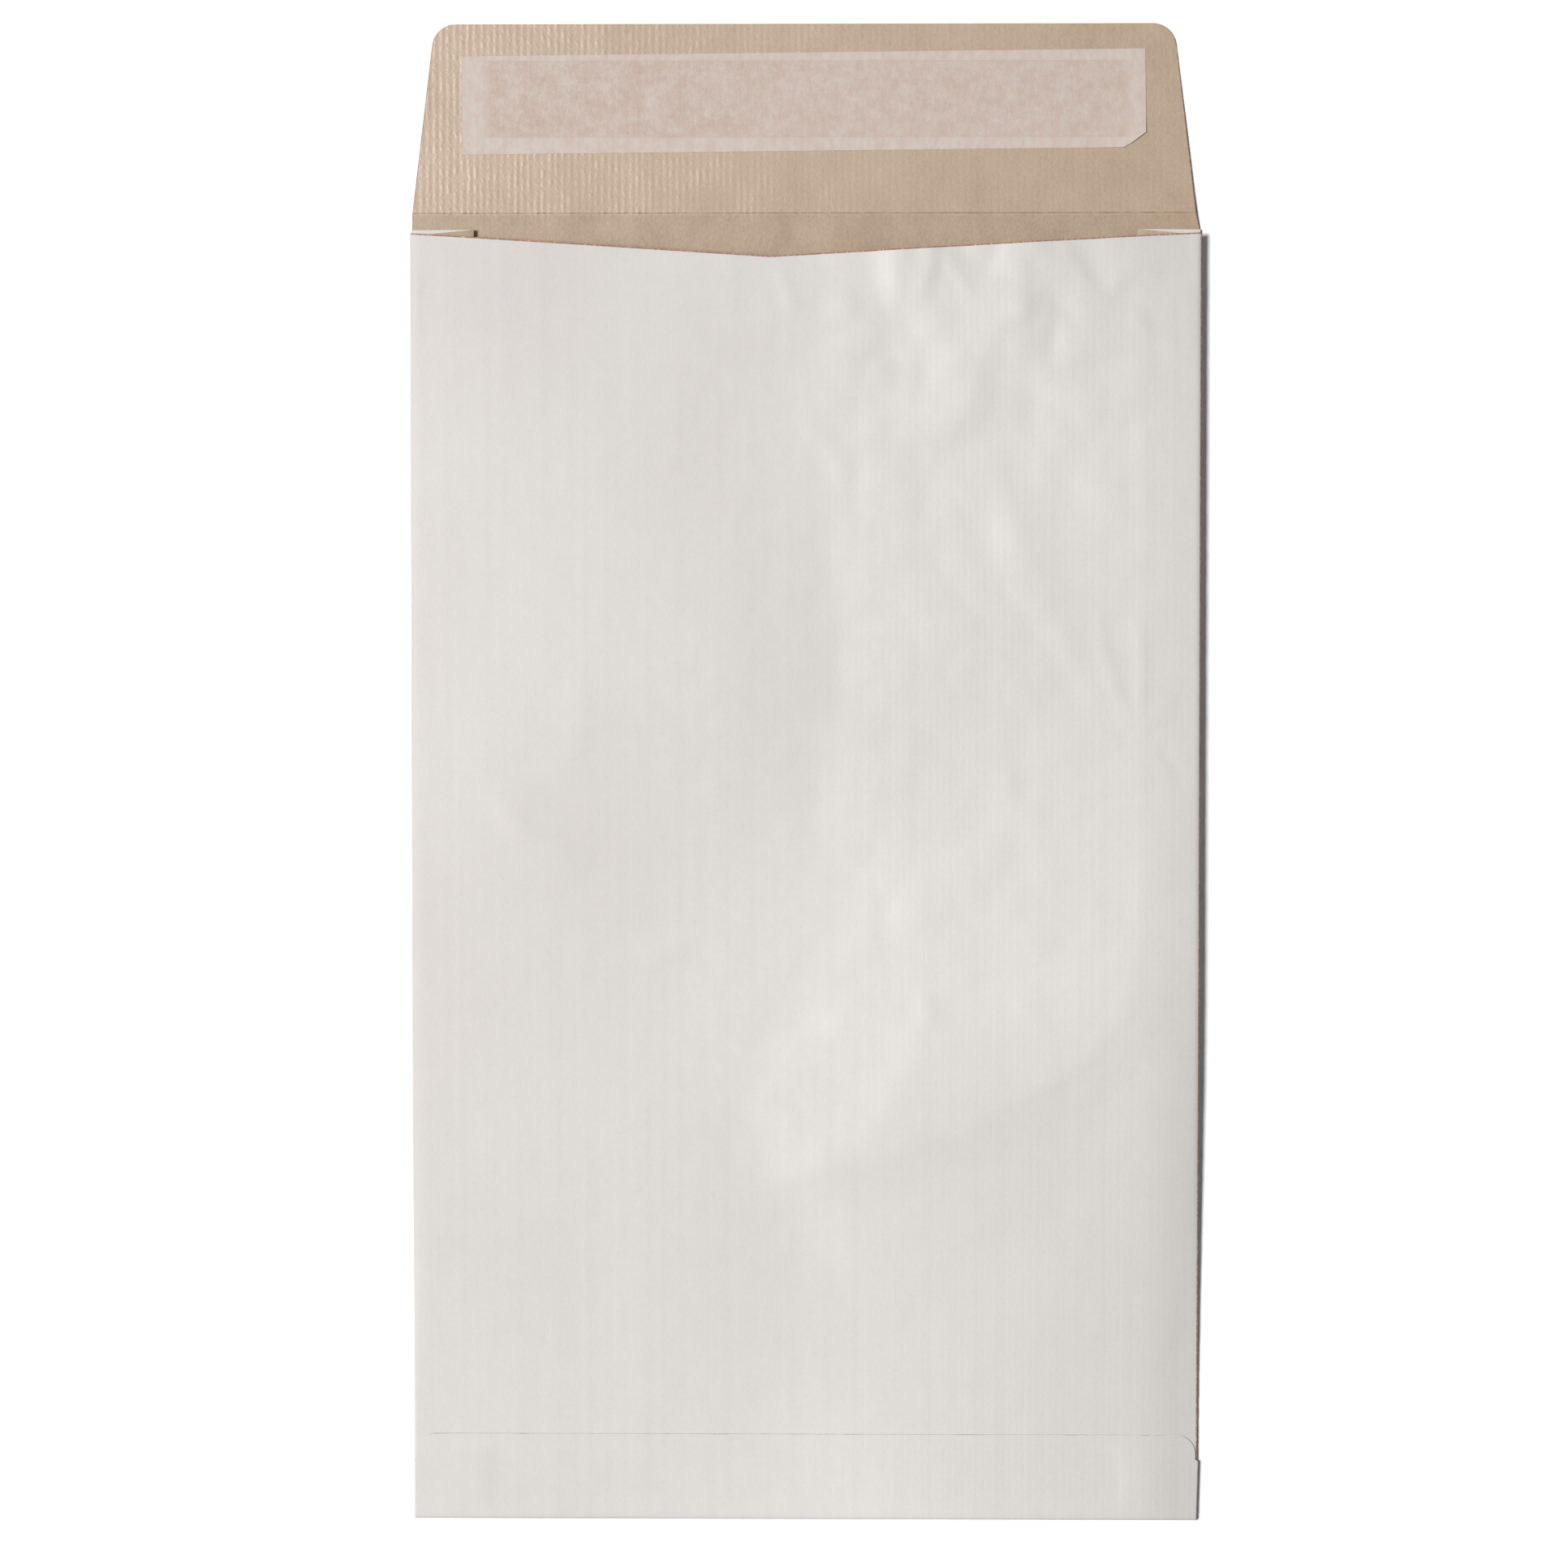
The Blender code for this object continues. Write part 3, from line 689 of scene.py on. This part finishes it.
def folded_sheet():
    """The blank in its folded place. The faces along its cut edges get a finish of their own."""
    mesh = bmesh.new()
    column = {}
    for shape, shares, cut, reach in strips():
        used = rows(reach)
        is_flap = reach == FLAP
        for i, u in enumerate(shares):
            before = column
            if i:
                column = {}
            for row in used:
                if row not in column:
                    column[row] = mesh.verts.new(place(shape, u, cut(u), row))
            if not i:
                continue
            at_seam = shape is front_panel and i == 1
            at_side = is_flap and i in (1, len(shares) - 1)
            for j, (low, high) in enumerate(zip(used, used[1:])):
                corners = (before[low], before[high], column[high], column[low])
                face = mesh.faces.new(corners)
                if is_flap and j < WORN_AND_SHADED_ROWS:
                    face.material_index = WORN_AND_SHADED
                elif shape is front_panel and j == len(used) - 2:
                    face.material_index = CUT
                elif at_seam or (at_side and on_closing_flap(high)):
                    face.material_index = CUT
    return mesh


def layer(xs, ys, height, laid=lambda x, y: (x, y)):
    """A thin patch over a grid of x and y, each point laid in its place at its height."""
    mesh = bmesh.new()
    grid = []
    for y in ys:
        points = [laid(x, y) for x in xs]
        grid.append([mesh.verts.new((px - MIDDLE_X, py - MIDDLE_Y, height(px, py)))
                     for px, py in points])
    for low, high in zip(grid, grid[1:]):
        for a, b, c, d in zip(low, low[1:], high[1:], high):
            mesh.faces.new((a, b, c, d))
    return mesh


def spread(width, count):
    return [lerp(-width / 2, width / 2, u) for u in even(count)]


def adhesive_point(x, y):
    return ADHESIVE_X + x, THROAT_Y + ADHESIVE_UP + y


def on_flap(x, y):
    """The liner's own x and y, turned and moved to its place on the flap."""
    turned_x = x * math.cos(LINER_TILT) - y * math.sin(LINER_TILT)
    turned_y = x * math.sin(LINER_TILT) + y * math.cos(LINER_TILT)
    return LINER_X + turned_x, THROAT_Y + LINER_UP + turned_y


def liner_point(x, y):
    """The same for the liner's outline, whose lower right corner is cut off at a slant."""
    over = max(0.0, x - LINER_WIDTH / 2 + LINER_CORNER_X) / LINER_CORNER_X
    share = (LINER_HEIGHT / 2 - y) / LINER_HEIGHT
    return on_flap(x, y + LINER_CORNER_Y * over * share)


def liner_height(x, y):
    """The liner lies on the adhesive, and its cut corner curls up."""
    flat = flap_height(x, y) + (PAPER + LINER_PAPER) / 2 + ADHESIVE + 2 * SEAT_GAP
    corner_x, corner_y = on_flap(LINER_WIDTH / 2, -LINER_HEIGHT / 2)
    away = math.hypot(x - corner_x, y - corner_y) / LINER_CURL_REACH
    return flat + LINER_CORNER_LIFT * max(0.0, 1 - away) ** 2


def adhesive_height(x, y):
    return flap_height(x, y) + (PAPER + ADHESIVE) / 2 + SEAT_GAP


def glue_in_seam(x, y):
    return front_height(x, y) + relief(x, y) - LAYER_PITCH / 2


def nodes_of(name):
    """A new material, its node tree, its shader and the object's own coordinates."""
    made = bpy.data.materials.new(name)
    made.use_nodes = True
    tree = made.node_tree
    place_in = tree.nodes.new("ShaderNodeTexCoord").outputs["Object"]
    return made, tree, tree.nodes["Principled BSDF"], place_in


def put(tree, socket, value):
    if isinstance(value, bpy.types.NodeSocket):
        tree.links.new(value, socket)
    else:
        socket.default_value = value


def stretched(tree, where, size):
    """Coordinates in which a texture's cell is size (x, y, z) metres."""
    made = tree.nodes.new("ShaderNodeMapping")
    put(tree, made.inputs["Vector"], where)
    made.inputs["Scale"].default_value = [1 / s for s in size]
    return made.outputs["Vector"]


def cloudy(tree, where, size, detail=3.0, roughness=0.55):
    """Noise from 0 to 1 whose cells are size (x, y, z) metres."""
    made = tree.nodes.new("ShaderNodeTexNoise")
    put(tree, made.inputs["Vector"], stretched(tree, where, size))
    made.inputs["Scale"].default_value = 1.0
    made.inputs["Detail"].default_value = detail
    made.inputs["Roughness"].default_value = roughness
    return made.outputs["Fac"]


def maths(tree, operation, a, b=0.0):
    made = tree.nodes.new("ShaderNodeMath")
    made.operation = operation
    put(tree, made.inputs[0], a)
    put(tree, made.inputs[1], b)
    return made.outputs[0]


def added(tree, a, b):
    return maths(tree, "ADD", a, b)


def times(tree, a, b):
    return maths(tree, "MULTIPLY", a, b)


def axis_of(tree, where, axis):
    split = tree.nodes.new("ShaderNodeSeparateXYZ")
    put(tree, split.inputs[0], where)
    return split.outputs[axis]


def away_from(tree, value, middle):
    return maths(tree, "ABSOLUTE", maths(tree, "SUBTRACT", value, middle))


def scaled(tree, value, low, high, out_low=0.0, out_high=1.0):
    """Carries low..high to out_low..out_high, held at both ends."""
    made = tree.nodes.new("ShaderNodeMapRange")
    put(tree, made.inputs["Value"], value)
    put(tree, made.inputs["From Min"], low)
    put(tree, made.inputs["From Max"], high)
    put(tree, made.inputs["To Min"], out_low)
    put(tree, made.inputs["To Max"], out_high)
    return made.outputs["Result"]


def mixed(tree, share, a, b):
    made = tree.nodes.new("ShaderNodeMix")
    made.data_type = "RGBA"
    put(tree, made.inputs["Factor"], share)
    put(tree, made.inputs["A"], a)
    put(tree, made.inputs["B"], b)
    return made.outputs["Result"]


def bumped(tree, height, metres, normal=None):
    """The normal over a relief, on top of another relief's normal if there is one."""
    made = tree.nodes.new("ShaderNodeBump")
    put(tree, made.inputs["Height"], height)
    made.inputs["Distance"].default_value = metres
    if normal is not None:
        put(tree, made.inputs["Normal"], normal)
    return made.outputs["Normal"]


def ribs(tree, where):
    """The paper machine's ribs, which run along the bag: 0 in a furrow, 1 on a rib."""
    wander = cloudy(tree, where, (0.006, 0.05, 0.05), detail=1.0)
    turns = times(tree, axis_of(tree, where, "X"), 2 * math.pi / RIB_PITCH)
    turns = added(tree, turns, times(tree, wander, 3.0))
    return scaled(tree, maths(tree, "SINE", turns), -1.0, 1.0)


def fibres(tree, where):
    """Short fibres, lying mostly along the bag."""
    return cloudy(tree, where, (0.00035, 0.0014, 0.0014), detail=4.0, roughness=0.7)


def pulp(tree, where, grain, cloud):
    """The tone of the white side: grain, fibres, clouds, and streaks along the bag."""
    tone = added(tree, times(tree, grain, 0.5), times(tree, fibres(tree, where), 0.6))
    tone = added(tree, tone, times(tree, cloud, 0.4))
    tone = scaled(tree, tone, 0.50, 1.00)
    streaks = cloudy(tree, where, (0.0032, 0.40, 0.3), detail=3.0)
    return added(tree, tone, scaled(tree, streaks, 0.3, 0.7, -0.18, 0.18))


def tint_and_painted_light(tree, where, across, along):
    """The tint's drift, with painted light: 0 is the pink tint painted darker, at the upper
    left, and 1 is the cream tint painted lighter, at the lower right.
    """
    drift = cloudy(tree, where, (0.09, 0.13, 0.1), detail=1.0)
    drift = added(tree, scaled(tree, drift, 0.35, 0.65, -0.18, 0.18),
                  scaled(tree, across, -HALF, HALF, 0.0, 0.65))
    drift = added(tree, drift, scaled(tree, along, 0.20, -0.20, 0.0, 0.50))
    return scaled(tree, drift, 0.0, 1.0)


def painted_shade_share(tree, across, along):
    """Painted shade on the white: at the foot's right, and down the right side."""
    foot = times(tree, scaled(tree, along, -0.06, -0.18),
                 scaled(tree, across, 0.02, 0.11, 0.0, 0.6))
    side = times(tree, scaled(tree, along, 0.12, -0.12),
                 scaled(tree, across, 0.106, 0.122, 0.0, 0.6))
    return added(tree, foot, side)


def white_kraft():
    """The outside: satin, with the pulp's cloudiness, fibres, a drift in tint with painted
    light, and painted shade.
    """
    made, tree, shader, where = nodes_of("white_kraft")
    across = axis_of(tree, where, "X")
    along = axis_of(tree, where, "Y")
    grain = cloudy(tree, where, (0.0008, 0.0011, 0.001), detail=2.0)
    cloud = cloudy(tree, where, (0.006, 0.010, 0.008), detail=3.0)
    tone = pulp(tree, where, grain, cloud)
    rosy_painted_darker = mixed(tree, tone, *ROSY_WHITE_PAINTED_DARKER)
    creamy_painted_lighter = mixed(tree, tone, *CREAMY_WHITE_PAINTED_LIGHTER)
    # painted light: the mix turns lighter to the right and downwards
    tint_with_painted_light = mixed(tree, tint_and_painted_light(tree, where, across, along), rosy_painted_darker, creamy_painted_lighter)
    # painted shade, greyer at the foot's right and down the right side
    painted_shade = mixed(tree, tone, *PAINTED_SHADE_WHITE)
    colour = mixed(tree, painted_shade_share(tree, across, along), tint_with_painted_light, painted_shade)
    put(tree, shader.inputs["Base Color"], colour)
    satin = added(tree, across, scaled(tree, cloud, 0.3, 0.7, -0.04, 0.04))
    satin = scaled(tree, satin, -0.03, 0.05)
    put(tree, shader.inputs["Roughness"], scaled(tree, satin, 0.0, 1.0, 0.59, 0.50))
    shader.inputs["Specular IOR Level"].default_value = 0.4
    raised = times(tree, ribs(tree, where), scaled(tree, satin, 0.0, 1.0, 0.3, 1.0))
    normal = bumped(tree, raised, WHITE_RIBS)
    rough = times(tree, grain, scaled(tree, satin, 0.0, 1.0, 0.5, 1.0))
    put(tree, shader.inputs["Normal"], bumped(tree, rough, WHITE_GRAIN, normal))
    return made


def dull_and_shaded_share(tree, along):
    """1 from the mouth up to the flap's crease, 0 on the flap beyond it."""
    crease = CREASE_Y - MIDDLE_Y
    return scaled(tree, along, crease + 0.0004, crease - 0.0010)


def groove_shade_line(tree, along, broken):
    """Painted shade of the pressed groove, in a broken line along the flap's crease."""
    away = away_from(tree, along, CREASE_Y - MIDDLE_Y)
    line = scaled(tree, away, GROOVE_HALF_WIDTH, GROOVE_HALF_WIDTH / 2)
    return times(tree, line, scaled(tree, broken, 0.35, 0.60, 0.35, 1.0))


def brown_tone(tree, grain, patches, across, dull_and_shaded):
    """Grain and patches, with painted shade: darker to the right, and on the band by the mouth.
    """
    tone = added(tree, times(tree, grain, 1.1), times(tree, patches, 1.2))
    # painted shade: the brown darkens towards the right, where the sheen fades
    tone = added(tree, tone, scaled(tree, across, -HALF, HALF, 0.06, -0.10))
    # painted shade: the band from the mouth up to the crease is darker
    tone = maths(tree, "SUBTRACT", tone, times(tree, dull_and_shaded, 0.18))
    return scaled(tree, tone, 0.72, 1.52)


def shining_ribs(tree, where, broken, dull_and_shaded, faded):
    """The ribs of the brown side: broken, flatter on the matt band by the mouth, fading to the
    right.
    """
    raised = times(tree, ribs(tree, where), scaled(tree, broken, 0.38, 0.62, 0.10, 1.0))
    raised = times(tree, raised, scaled(tree, dull_and_shaded, 0.0, 1.0, 1.0, 0.40))
    return times(tree, raised, scaled(tree, faded, -0.070, 0.010, 1.0, 0.25))


def brown_kraft():
    """The inside: ribbed and glazed, so the ribs shine. The crease and the mouth are matt and
    painted darker as shade.
    """
    made, tree, shader, where = nodes_of("brown_kraft")
    across = axis_of(tree, where, "X")
    along = axis_of(tree, where, "Y")
    grain = cloudy(tree, where, (0.0007, 0.0013, 0.001), detail=3.0, roughness=0.65)
    broken = cloudy(tree, where, (0.0030, 0.0022, 0.003), detail=3.0, roughness=0.65)
    patches = cloudy(tree, where, (0.013, 0.022, 0.02), detail=5.0, roughness=0.62)
    dull_and_shaded = dull_and_shaded_share(tree, along)
    plain = mixed(tree, brown_tone(tree, grain, patches, across, dull_and_shaded), *BROWN)
    # painted shade: a dark broken line along the crease's groove
    colour = mixed(tree, groove_shade_line(tree, along, broken), plain, GROOVE_SHADE_BROWN)
    put(tree, shader.inputs["Base Color"], colour)
    glazed = scaled(tree, added(tree, patches, grain), 0.75, 1.25, 0.44, 0.33)
    put(tree, shader.inputs["Roughness"], scaled(tree, dull_and_shaded, 0.0, 1.0, glazed, 0.62))
    shader.inputs["Specular IOR Level"].default_value = 1.0
    shader.inputs["Specular Tint"].default_value = GLAZE
    ragged = scaled(tree, patches, 0.35, 0.65, -0.05, 0.05)
    faded = maths(tree, "SUBTRACT", across, ragged)
    normal = bumped(tree, shining_ribs(tree, where, broken, dull_and_shaded, faded), BROWN_RIBS)
    put(tree, shader.inputs["Normal"], bumped(tree, grain, BROWN_GRAIN, normal))
    return made


def torn(tree, where, low, high):
    """The fibres of a brown cut, and the share of them that stands out pale."""
    fibre = cloudy(tree, where, (0.0006, 0.0009, 0.0006), detail=4.0, roughness=0.7)
    return fibre, scaled(tree, fibre, low, high)


def cut_edge():
    """Where the sheet is cut, its brown core shows, with pale fibres standing in it."""
    made, tree, shader, where = nodes_of("kraft_cut_edge")
    fibre, pale = torn(tree, where, 0.50, 0.66)
    put(tree, shader.inputs["Base Color"], mixed(tree, pale, *CUT_CORE))
    shader.inputs["Roughness"].default_value = 0.8
    put(tree, shader.inputs["Normal"], bumped(tree, fibre, CUT_FIBRES))
    return made


def worn_and_shaded_edge():
    """The bottom flap's pasted-down edge: white, with short dashes that are its brown core and
    painted shade of the gap.
    """
    made, tree, shader, where = nodes_of("kraft_worn_and_shaded_edge")
    fibre, pale = torn(tree, where, 0.40, 0.60)
    dashes = cloudy(tree, where, (0.011, 0.004, 0.01), detail=4.0, roughness=0.7)
    pale = maths(tree, "MAXIMUM", pale, scaled(tree, dashes, 0.62, 0.54))
    put(tree, shader.inputs["Base Color"], mixed(tree, pale, *WORN_AND_SHADED_CORE))
    shader.inputs["Roughness"].default_value = 0.7
    put(tree, shader.inputs["Normal"], bumped(tree, fibre, WORN_FIBRES))
    return made


def over_adhesive(tree, where, stroke, patches):
    """Share of the liner that lies over the adhesive, ragged at its ends, and its rim."""
    ragged = added(tree, times(tree, stroke, 0.0045), times(tree, patches, 0.0065))
    side = away_from(tree, axis_of(tree, where, "X"), ADHESIVE_X - MIDDLE_X)
    side = added(tree, side, ragged)
    end = away_from(tree, axis_of(tree, where, "Y"), THROAT_Y + ADHESIVE_UP - MIDDLE_Y)
    end = added(tree, end, times(tree, stroke, 0.0012))
    half_x = ADHESIVE_WIDTH / 2 + 0.0075
    half_y = ADHESIVE_HEIGHT / 2 + 0.0006
    inside = times(tree, scaled(tree, side, half_x, half_x - 0.0030),
                   scaled(tree, end, half_y, half_y - 0.0006))
    rim = times(tree, scaled(tree, end, half_y - 0.0013, half_y - 0.0006), inside)
    return inside, rim


def touching_share(tree, where, stroke, patches, rim):
    """How closely the liner touches the adhesive: in blots, less so to the right."""
    touch = added(tree, times(tree, stroke, 0.9), times(tree, patches, 0.8))
    touching = scaled(tree, touch, 0.70, 1.02)
    fading = scaled(tree, axis_of(tree, where, "X"), -0.09, 0.02, 1.0, 0.66)
    touching = times(tree, touching, fading)
    return maths(tree, "MAXIMUM", touching, times(tree, rim, 0.5))


def glassine():
    """Translucent liner: it looks darker and wetter where it touches the adhesive."""
    made, tree, shader, where = nodes_of("release_liner")
    stroke = cloudy(tree, where, (0.00055, 0.0016, 0.002), detail=5.0, roughness=0.85)
    patches = cloudy(tree, where, (0.0075, 0.0060, 0.01), detail=5.0, roughness=0.75)
    cloud = cloudy(tree, where, (0.0025, 0.0040, 0.003), detail=4.0, roughness=0.7)
    inside, rim = over_adhesive(tree, where, stroke, patches)
    touching = touching_share(tree, where, stroke, patches, rim)
    wet = times(tree, inside, touching)
    dry = mixed(tree, scaled(tree, cloud, 0.35, 0.65), *DRY_LINER)
    put(tree, shader.inputs["Base Color"], mixed(tree, wet, dry, WET_LINER))
    put(tree, shader.inputs["Roughness"], scaled(tree, wet, 0.0, 1.0, 0.50, 0.44))
    shader.inputs["Specular IOR Level"].default_value = 0.4
    normal = bumped(tree, ribs(tree, where), LINER_RIBS)
    put(tree, shader.inputs["Normal"], bumped(tree, touching, LINER_WRINKLES, normal))
    return made


def hot_melt():
    """The adhesive: glossy, in streaks across the flap."""
    made, tree, shader, where = nodes_of("flap_adhesive")
    streaks = cloudy(tree, where, (0.012, 0.0008, 0.002), detail=3.0)
    put(tree, shader.inputs["Base Color"], mixed(tree, streaks, *HOT_MELT))
    put(tree, shader.inputs["Roughness"], scaled(tree, streaks, 0.3, 0.7, 0.22, 0.38))
    put(tree, shader.inputs["Normal"], bumped(tree, streaks, ADHESIVE_STREAKS))
    return made


def paste():
    """The glue of the seam and the bottom flap."""
    made, tree, shader, where = nodes_of("paper_glue")
    patches = cloudy(tree, where, (0.003, 0.006, 0.002), detail=3.0)
    put(tree, shader.inputs["Base Color"], mixed(tree, patches, *PASTE))
    put(tree, shader.inputs["Roughness"], scaled(tree, patches, 0.3, 0.7, 0.35, 0.60))
    put(tree, shader.inputs["Normal"], bumped(tree, patches, GLUE_PATCHES))
    return made


def piece(name, mesh, thickness, materials, node):
    """Gives a sheet its thickness and its materials, and lets it stand for a CAD node."""
    data = bpy.data.meshes.new(name)
    mesh.to_mesh(data)
    mesh.free()
    for made in materials:
        data.materials.append(made)
    made = bpy.data.objects.new(name, data)
    bpy.context.scene.collection.objects.link(made)
    thick = made.modifiers.new("paper", "SOLIDIFY")
    thick.thickness = thickness
    thick.offset = 0.0
    thick.use_even_offset = True
    thick.material_offset = min(1, len(materials) - 1)
    thick.material_offset_rim = len(materials) - 1
    graph = bpy.context.evaluated_depsgraph_get()
    solid = bpy.data.meshes.new_from_object(made.evaluated_get(graph))
    made.modifiers.clear()
    made.data = solid
    for polygon in solid.polygons:
        polygon.use_smooth = True
    solid.set_sharp_from_angle(angle=SHARP_ANGLE)
    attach(made, "root")
    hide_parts(node)
    return made


def dress_bag():
    papers = (white_kraft(), brown_kraft(), worn_and_shaded_edge(), cut_edge())
    piece("kraft_sheet", folded_sheet(), PAPER, papers, "bag")


def dress_closing_strip():
    piece("adhesive_band",
          layer(spread(ADHESIVE_WIDTH, LINER_COLUMNS), spread(ADHESIVE_HEIGHT, LINER_ROWS),
                adhesive_height, adhesive_point),
          ADHESIVE, (hot_melt(),), "flap_adhesive")
    piece("liner",
          layer(spread(LINER_WIDTH, LINER_COLUMNS), spread(LINER_HEIGHT, LINER_ROWS),
                liner_height, liner_point),
          LINER_PAPER, (glassine(),), "release_liner")


def dress_glue():
    glue = paste()
    across = seam_columns()[1:-1]
    along = [y for _, y, _ in tube_rows() if BOTTOM_FLAP_Y < y < THROAT_Y - SEAM_WIDTH]
    piece("seam_glue_line", layer(across, along, glue_in_seam), GLUE_GAP - 2 * SEAT_GAP,
          (glue,), "seam_glue")
    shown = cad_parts["bottom_glue"]
    shown.data.materials.clear()
    shown.data.materials.append(glue)


def table():
    """A plain pale floor: white to the camera, and it keeps the shadow."""
    mesh = bmesh.new()
    corners = [(-1, -1), (1, -1), (1, 1), (-1, 1)]
    mesh.faces.new([mesh.verts.new((x * FLOOR_HALF, y * FLOOR_HALF, 0)) for x, y in corners])
    data = bpy.data.meshes.new("table")
    mesh.to_mesh(data)
    mesh.free()
    made = bpy.data.materials.new("pale_table")
    made.use_nodes = True
    tree = made.node_tree
    shader = tree.nodes["Principled BSDF"]
    shader.inputs["Base Color"].default_value = FLOOR_COLOUR
    shader.inputs["Roughness"].default_value = 0.9
    shader.inputs["Specular IOR Level"].default_value = 0.0
    shader.inputs["Emission Color"].default_value = PURE_WHITE
    glow = scaled(tree, seen_directly(tree), 0.0, 1.0, 0.0, FLOOR_GLOW)
    put(tree, shader.inputs["Emission Strength"], glow)
    data.materials.append(made)
    floor = bpy.data.objects.new("table", data)
    bpy.context.scene.collection.objects.link(floor)


def seen_directly(tree):
    """1 for the camera, and for what gloss or glass shows of the background."""
    path = tree.nodes.new("ShaderNodeLightPath")
    either = maths(tree, "MAXIMUM", path.outputs["Is Camera Ray"],
                   path.outputs["Is Glossy Ray"])
    return maths(tree, "MAXIMUM", either, path.outputs["Is Transmission Ray"])


def lights():
    """One broad lamp high up at the left, and a faint light from all round."""
    lamp = bpy.data.lights.new("key", "AREA")
    lamp.shape = "DISK"
    lamp.size = LAMP_SIZE
    lamp.energy = LAMP_POWER
    key = bpy.data.objects.new("key", lamp)
    bpy.context.scene.collection.objects.link(key)
    key.location = LAMP_PLACE
    aim = Vector((0.0, 0.0, 0.0)) - key.location
    key.rotation_euler = aim.to_track_quat("-Z", "Y").to_euler()
    world = bpy.data.worlds.new("studio")
    bpy.context.scene.world = world
    world.use_nodes = True
    tree = world.node_tree
    back = tree.nodes["Background"]
    back.inputs["Color"].default_value = PURE_WHITE
    strength = scaled(tree, seen_directly(tree), 0.0, 1.0, WORLD_LIGHT, 1.0)
    put(tree, back.inputs["Strength"], strength)


def camera():
    """Almost straight above, a little towards the flap's end."""
    lens = bpy.data.cameras.new("camera")
    lens.sensor_width = SENSOR_WIDTH
    lens.lens = FOCAL_LENGTH
    lens.clip_end = CAMERA_SIGHT
    seen = bpy.data.objects.new("camera", lens)
    bpy.context.scene.collection.objects.link(seen)
    seen.location = CAMERA_PLACE
    aim_x, aim_y = CAMERA_AIM
    back = math.atan2(aim_y - seen.location.y, seen.location.z)
    over = math.atan2(seen.location.x - aim_x, seen.location.z)
    seen.rotation_euler = (back, over, 0.0)
    bpy.context.scene.camera = seen


dress_bag()
dress_closing_strip()
dress_glue()
table()
lights()
camera()
bpy.context.scene.view_settings.view_transform = "Standard"
